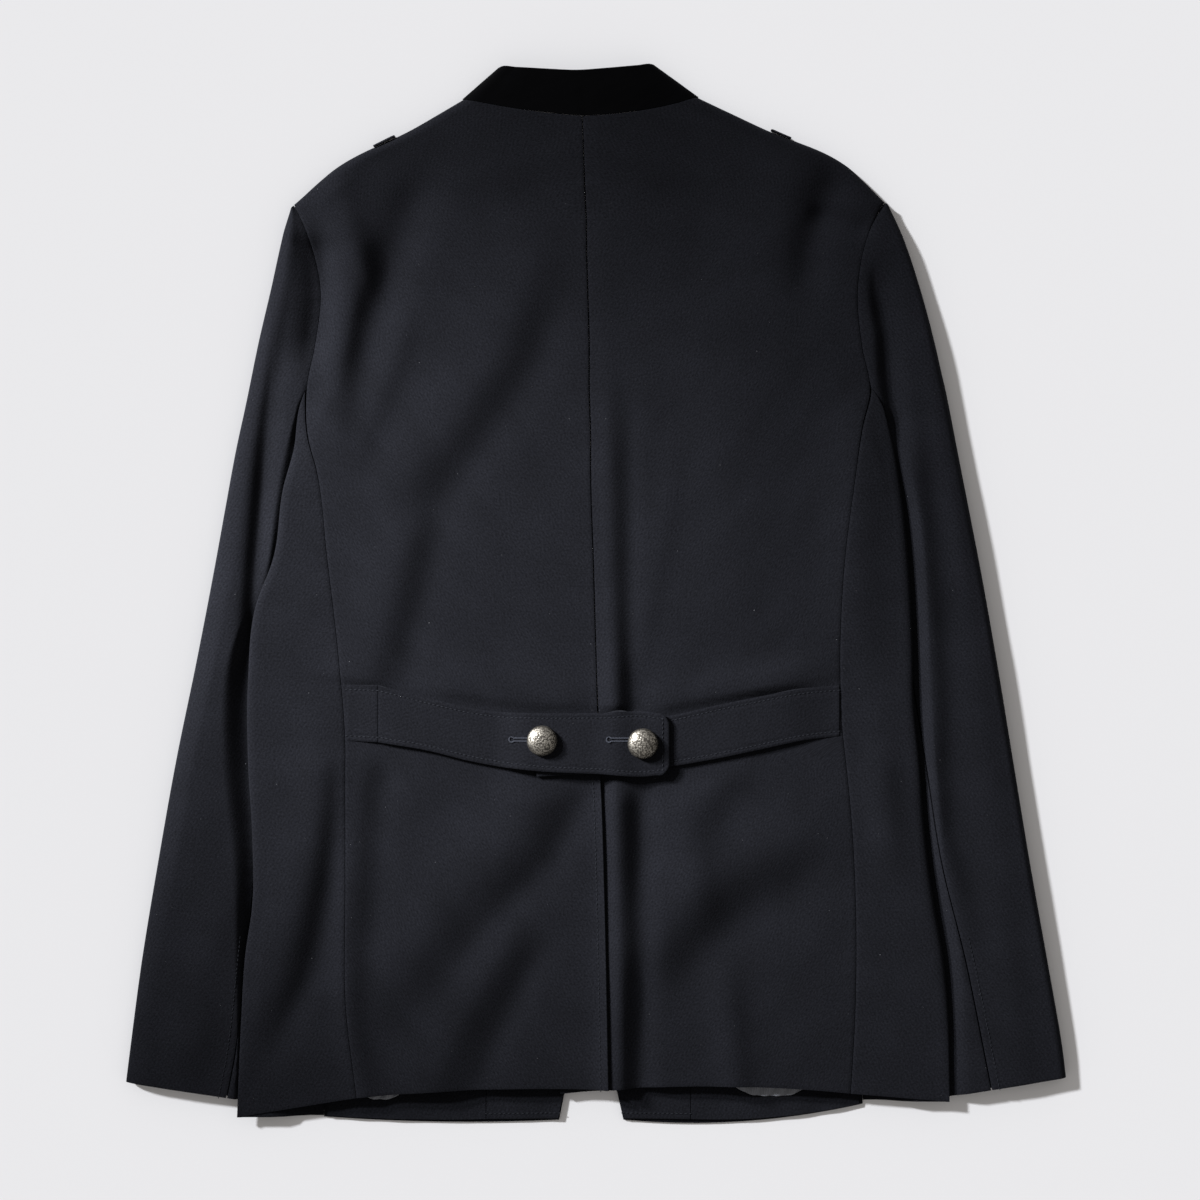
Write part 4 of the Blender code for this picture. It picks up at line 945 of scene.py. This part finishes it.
def belt_grid(table, lap, sewn_x):
    """Points of a belt tab with its edges pressed and sewn; a tab that laps has a free end."""
    row = BeltRow(*rows_through(table, ((0,),), BELT_SPACING).T[:, :, None])
    height = row.high - row.low
    step = steps_across(height, BELT_SPACING)
    y = row.low + step
    x = np.broadcast_to(row.x, y.shape)
    edge = np.minimum(step, height - step)
    if lap:
        edge = np.minimum(edge, table[-1].x - x)
    sunk = BELT_GROOVE * bell((edge - BELT_STITCH_IN) / BELT_GROOVE_RUN)
    sunk += BELT_EDGE_DROP * bell(edge / BELT_EDGE_RUN)
    sunk += BELT_SEWN_DROP * (1 - smooth_step(np.abs(x - sewn_x) / BELT_SEWN_RUN))
    return np.dstack([x, y, belt_top(x, y, lap) - sunk])


BELT_GRIDS = {}
for name, table, lap in (
    ("half_belt_left_end", BELT_LEFT_END, 0),
    ("half_belt_left", BELT_LEFT, BELT_LAP),
    ("half_belt_right", BELT_RIGHT, 0),
):
    sewn_x = BELT_RIGHT[-1].x if "right" in name else BELT_LEFT_END[0].x
    BELT_GRIDS[name] = belt_grid(table, lap, sewn_x)
    cloth_piece(name, BELT_GRIDS[name], UP, BELT_WALL)


# Topstitching: lockstitch in navy polyester thread, sunk a little into the cloth along the vent, the belt,
# the elbow seams and the front hems. The thread is 0.4 mm thick, but it is drawn 0.7 mm thick so that it
# shows.
STITCH_RAISE = 0.1
STITCH_LEAST = (0.85, 0.85, 0.85)
STITCH_MOST = (1.08, 1.1, 1.1)
STITCH_BEAD = {"Segments": 6, "Rings": 5, "Radius": 0.5}
# Columns of the grids that the stitches follow, counted from the edge.
BELT_COLUMN = 4
SEAM_COLUMN = 5
HEM_ROW = 2
VENT_STITCH_TOP = -134
ELBOW_STITCH_TOP = -250
STITCH_CLEAR = 1
PLY_SIZE = 0.0006
THREAD_SURFACE = {"Roughness": 0.8, "Specular IOR Level": 0.15}


def polyester_thread(tree, dark, light):
    """Shader inputs of a sewing thread: twisted, with a slight gloss."""
    place = add_node(tree, "ShaderNodeTexCoord", {})["Object"]
    tint = blend(tree, grain_of(tree, place, PLY_SIZE, detail=2.0), dark, light)
    return {"Base Color": tint, **THREAD_SURFACE}


THREAD = new_material("polyester_thread", polyester_thread, "#101217", "#191B21")
Stitch = namedtuple("Stitch", "pitch length width turn thread")
TOPSTITCH = Stitch(3.2, 2.6, 0.7, 0.0, THREAD)


def stitch_tree():
    """Node tree that sets stitches along every path, one pitch apart and turned from it by an angle."""
    tree = bpy.data.node_groups.new("lockstitch", "GeometryNodeTree")
    tree.interface.new_socket("Geometry", in_out="INPUT", socket_type="NodeSocketGeometry")
    for name in ("Pitch", "Length", "Width", "Turn"):
        tree.interface.new_socket(name, in_out="INPUT", socket_type="NodeSocketFloat")
    tree.interface.new_socket("Seed", in_out="INPUT", socket_type="NodeSocketInt")
    tree.interface.new_socket("Geometry", in_out="OUTPUT", socket_type="NodeSocketGeometry")
    sizes = add_node(tree, "NodeGroupInput", {})
    path = add_node(tree, "GeometryNodeMeshToCurve", {"Mesh": sizes["Geometry"]})[0]
    spaced = {"Curve": path, "Length": sizes["Pitch"]}
    points = add_node(tree, "GeometryNodeResampleCurve", spaced, mode="LENGTH")[0]
    tangent = add_node(tree, "GeometryNodeInputTangent", {})[0]
    ahead = add_node(tree, "FunctionNodeAlignRotationToVector", {"Vector": tangent}, axis="X")[0]
    angle = add_node(tree, "ShaderNodeCombineXYZ", {"Z": sizes["Turn"]})[0]
    turning = {"Rotation": ahead, "Rotate By": angle}
    turned = add_node(tree, "FunctionNodeRotateRotation", turning, rotation_space="LOCAL")[0]
    limits = {0: STITCH_LEAST, 1: STITCH_MOST, "Seed": sizes["Seed"]}
    uneven = add_node(tree, "FunctionNodeRandomValue", limits, data_type="FLOAT_VECTOR")[0]
    span = {"X": sizes["Length"], "Y": sizes["Width"], "Z": sizes["Width"]}
    shape = add_node(tree, "ShaderNodeCombineXYZ", span)[0]
    bead = add_node(tree, "GeometryNodeMeshUVSphere", STITCH_BEAD)[0]
    stitch = add_node(tree, "GeometryNodeTransform", {"Geometry": bead, "Scale": shape})[0]
    places = {"Points": points, "Instance": stitch, "Rotation": turned, "Scale": uneven}
    placed = add_node(tree, "GeometryNodeInstanceOnPoints", places)[0]
    real = add_node(tree, "GeometryNodeRealizeInstances", {"Geometry": placed})[0]
    dyed = add_node(tree, "GeometryNodeSetMaterial", {"Geometry": real, "Material": THREAD})[0]
    add_node(tree, "NodeGroupOutput", {"Geometry": dyed})
    return tree


STITCHES = stitch_tree()


def sew(name, paths, stitch, seed):
    """Stitches of one kind along paths of points in millimetres, as one plain mesh."""
    points, edges = [], []
    for path in paths:
        edges += [(len(points) + index, len(points) + index + 1) for index in range(len(path) - 1)]
        points += [(x * MM, y * MM, (z + STITCH_RAISE) * MM) for x, y, z in path]
    mesh = bpy.data.meshes.new(name)
    mesh.from_pydata(points, edges, [])
    piece = new_object(name, mesh)
    modifier = piece.modifiers.new("stitches", "NODES")
    modifier.node_group = STITCHES
    sizes = {"Pitch": stitch.pitch * MM, "Length": stitch.length * MM, "Width": stitch.width * MM}
    values = {**sizes, "Turn": stitch.turn, "Seed": seed}
    for socket in STITCHES.interface.items_tree:
        if socket.name in values:
            modifier[socket.identifier] = values[socket.name]
    made_plain(piece, stitch.thread)
    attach(piece, "root")


sides = ("left", "right")
vent_rows = BACK_LEFT_GRID[BACK_LEFT_GRID[:, -1, 1] < VENT_STITCH_TOP]
sew("vent_topstitch", [vent_rows[:, -1 - SEAM_COLUMN]], TOPSTITCH, 1)
belt_left, belt_right, belt_end = (BELT_GRIDS["half_belt_" + word] for word in (*sides, "left_end"))
tab_rows = belt_left[belt_left[:, 0, 0] < BELT_LEFT[-1].x - BELT_STITCH_IN - STITCH_CLEAR]
showing = belt_right[belt_right[:, 0, 0] > BELT_LEFT[-1].x + STITCH_CLEAR]
belt_paths = []
for rows in (tab_rows, belt_end, showing):
    belt_paths += [rows[:, BELT_COLUMN], rows[:, -1 - BELT_COLUMN]]
belt_paths.insert(2, tab_rows[-1, BELT_COLUMN:-BELT_COLUMN])
sew("belt_topstitch", belt_paths, TOPSTITCH, 2)
elbow_lines = [SLEEVE_GRIDS[word][:, SEAM_COLUMN] for word in sides]
sew("elbow_topstitch", [line[line[:, 1] < ELBOW_STITCH_TOP] for line in elbow_lines], TOPSTITCH, 3)
hem_lines = [STRIP_GRIDS["front_facing_" + word][HEM_ROW] for word in sides]
sew("hem_topstitch", [line + (0, 0, FACING_WALL) for line in hem_lines], TOPSTITCH, 5)


# Buttonholes: keyholes in the left belt tab, worked by machine in a paler twist over a raised edge, with a
# round eyelet at one end. The button hides the other end of each.
HOLE_WIDTH = 2.2
HOLE_RAISE = 0.35
EYE_RADIUS = 1.9
EYE_TURNS = np.radians(np.linspace(35, 325, 16))
TWIST = new_material("buttonhole_twist", polyester_thread, "#25272E", "#3A3D46")
HOLE_STITCH = Stitch(0.6, 1.4, 0.7, math.pi / 2, TWIST)
Hole = namedtuple("Hole", "eye_x end_x y")
HOLES = (Hole(-61, -45, -106.2), Hole(9.5, 28, -106.2))

hole_paths = []
for hole in HOLES:
    x = np.hstack([hole.end_x, hole.eye_x + EYE_RADIUS * np.cos(EYE_TURNS), hole.end_x])
    y = hole.y + np.hstack([HOLE_WIDTH / 2, EYE_RADIUS * np.sin(EYE_TURNS), -HOLE_WIDTH / 2])
    hole_paths.append(np.stack([x, y, belt_top(x, y, BELT_LAP) + HOLE_RAISE], axis=1))
sew("buttonholes", hole_paths, HOLE_STITCH, 4)


# Belt buttons: domed, of stamped and silvered brass with a grained face. The silver is worn bright on the
# grains and dark between them.
BUTTON_RADIUS = 11.0
BUTTON_HEIGHT = 7.5
BUTTON_RIM = 1.6
BUTTON_SIDES = 96
BUTTON_RINGS = 36
# Radius and height of the rings below the dome, and the wear of their silver.
BUTTON_BASE = ((BUTTON_RADIUS, 0.5), (0.92 * BUTTON_RADIUS, 0.0), (0.01, 0.0))
BUTTON_BASE_WEAR = 0.7
GRAIN_SIZE = 1.2
GRAIN_HEIGHT = 0.22
GRAIN_FALL = 2.2
GRAIN_EDGE = 0.06
MERGE_REACH = 0.00002
Button = namedtuple("Button", "node grain_seed")
BUTTONS = (Button("belt_button_left", 2.0), Button("belt_button_right", 9.0))
SILVER_DARK = "#4A4743"
SILVER_BRIGHT = "#A39F97"
SILVER_WORN = (0.1, 0.42)
SILVER_ROUGHNESS = (0.6, 0.42)
STAIN_SIZE = 0.004


def worn_silver(tree):
    """Shader inputs of the buttons: silver plate that has gone dark in its hollows."""
    raised = add_node(tree, "ShaderNodeAttribute", {}, attribute_name="raised")["Fac"]
    place = add_node(tree, "ShaderNodeTexCoord", {})["Object"]
    stain = grain_of(tree, place, STAIN_SIZE, detail=4.0)
    worn = add_node(tree, "ShaderNodeMath", {0: raised, 1: stain}, operation="MULTIPLY")[0]
    bright = ranged(tree, worn, SILVER_WORN)
    tint = blend(tree, bright, SILVER_DARK, SILVER_BRIGHT)
    rough = ranged(tree, bright, (0.0, 1.0), SILVER_ROUGHNESS)
    return {"Base Color": tint, "Roughness": rough, "Metallic": 1.0}


SILVER = new_material("worn_silver_plate", worn_silver)


def button_mesh(button):
    """Mesh of one button: a turned dome with grains raised on it, a plain rim and a flat underside."""
    low, high = (np.array(corner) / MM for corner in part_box(button.node))
    turns = 2 * math.pi * np.arange(BUTTON_SIDES) / BUTTON_SIDES
    lifts = np.radians(90 * np.arange(BUTTON_RINGS + 1) / BUTTON_RINGS)[:, None]
    round_x, round_y = np.cos(turns), np.sin(turns)
    across, up = np.sin(lifts), np.cos(lifts) + 0 * turns
    x, y = across * round_x, across * round_y
    places = np.dstack([x, y, up + button.grain_seed]).reshape(-1, 3) * BUTTON_RADIUS / GRAIN_SIZE
    cell = np.reshape([noise.voronoi(Vector(place))[0][0] for place in places], x.shape)
    grain = np.maximum(0, 1 - cell * cell * GRAIN_FALL) * smooth_step((1 - across) / GRAIN_EDGE)
    out = GRAIN_HEIGHT * (grain - 1)
    reach = BUTTON_RADIUS + out
    dome = np.dstack([x * reach, y * reach, BUTTON_RIM + up * (BUTTON_HEIGHT - BUTTON_RIM + out)])
    base_reach, base_up = np.array(BUTTON_BASE).T[:, :, None]
    base = np.dstack([base_reach * round_x, base_reach * round_y, base_up + 0 * turns])
    points = np.concatenate([dome, base]) + (*(low[:2] + high[:2]) / 2, low[2])
    raised = np.vstack([grain, np.full((len(base), BUTTON_SIDES), BUTTON_BASE_WEAR)])
    ring = np.arange(len(points) - 1)[:, None] * BUTTON_SIDES
    first, after = ring + np.arange(BUTTON_SIDES), ring + np.roll(np.arange(BUTTON_SIDES), -1)
    faces = np.dstack([first, first + BUTTON_SIDES, after + BUTTON_SIDES, after])
    mesh = bpy.data.meshes.new(button.node)
    mesh.from_pydata((points.reshape(-1, 3) * MM).tolist(), [], faces.reshape(-1, 4).tolist())
    mesh.attributes.new("raised", "FLOAT", "POINT").data.foreach_set("value", raised.ravel())
    return mesh


for button in BUTTONS:
    mesh = button_mesh(button)
    solid = bmesh.new()
    solid.from_mesh(mesh)
    bmesh.ops.remove_doubles(solid, verts=solid.verts[:], dist=MERGE_REACH)
    bmesh.ops.recalc_face_normals(solid, faces=solid.faces[:])
    solid.to_mesh(mesh)
    solid.free()
    mesh.materials.append(SILVER)
    mesh.shade_smooth()
    piece = new_object(button.node + "_silver", mesh)
    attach(piece, "root")
    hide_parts(button.node)


# Studio: a plain pale sheet under the jacket, a large lamp from the upper left, a low one on the same side
# that only lights the cloth, so that its folds show, and an even light all round. The camera looks straight
# down.
FLOOR_SIZE = 6.0
PAPER_SURFACE = {"Base Color": linear("#EDEDF0"), "Roughness": 0.95, "Specular IOR Level": 0.1}
KEY_STRENGTH = 3.75
KEY_ELEVATION = 33.0
KEY_AZIMUTH = 146.0
KEY_SOFTNESS = 5.0
KEY_COLOUR = (0.97, 0.985, 1.0)
FILL_STRENGTH = 0.34
FILL_COLOUR = (1.0, 0.96, 0.91, 1)
RAKE_POWER = 715.0
RAKE_PLACE = (-1.67, 0.97, 0.92)
RAKE_AIM = (-0.145, -0.005, 0.0)
RAKE_CONE = 20.8
RAKE_BLEND = 1.0
RAKE_SIZE = 0.15
VIEW_WIDTH = 0.874
VIEW_CENTRE = (0.0029, -0.0051)
VIEW_LEVEL = 0.008
LENS = 85.0
SENSOR = 36.0

paper = new_material("matt_paper", lambda tree: PAPER_SURFACE)
half = FLOOR_SIZE / 2
corners = [(-half, -half, 0), (half, -half, 0), (half, half, 0), (-half, half, 0)]
floor_mesh = bpy.data.meshes.new("floor")
floor_mesh.from_pydata(corners, [], [(0, 1, 2, 3)])
floor_mesh.materials.append(paper)
floor = new_object("floor", floor_mesh)


def new_lamp(name, kind, energy, towards):
    """Lamp in the scene whose light comes from one direction."""
    light = bpy.data.lights.new(name, kind)
    light.energy = energy
    lamp = new_object(name, light)
    lamp.rotation_euler = towards.to_track_quat("Z", "Y").to_euler()
    return lamp


elevation, azimuth = math.radians(KEY_ELEVATION), math.radians(KEY_AZIMUTH)
towards = Vector((math.cos(azimuth), math.sin(azimuth), math.tan(elevation)))
key = new_lamp("key", "SUN", KEY_STRENGTH, towards)
key.data.angle = math.radians(KEY_SOFTNESS)
key.data.color = KEY_COLOUR

rake = new_lamp("rake", "SPOT", RAKE_POWER, Vector(RAKE_PLACE) - Vector(RAKE_AIM))
rake.location = RAKE_PLACE
rake.data.spot_size = math.radians(RAKE_CONE)
rake.data.spot_blend = RAKE_BLEND
rake.data.shadow_soft_size = RAKE_SIZE
all_but_paper = bpy.data.collections.new("all_but_paper")
all_but_paper.objects.link(floor)
all_but_paper.collection_objects[0].light_linking.link_state = "EXCLUDE"
rake.light_linking.receiver_collection = all_but_paper

world = bpy.data.worlds.new("studio")
world.use_nodes = True
background = world.node_tree.nodes["Background"]
fill_inputs(world.node_tree, background, {"Color": FILL_COLOUR, "Strength": FILL_STRENGTH})
bpy.context.scene.world = world
bpy.context.scene.view_settings.view_transform = "Standard"

lens = bpy.data.cameras.new("camera")
lens.lens = LENS
lens.sensor_width = SENSOR
camera = new_object("camera", lens)
camera.location = (*VIEW_CENTRE, VIEW_WIDTH * LENS / SENSOR + VIEW_LEVEL)
bpy.context.scene.camera = camera
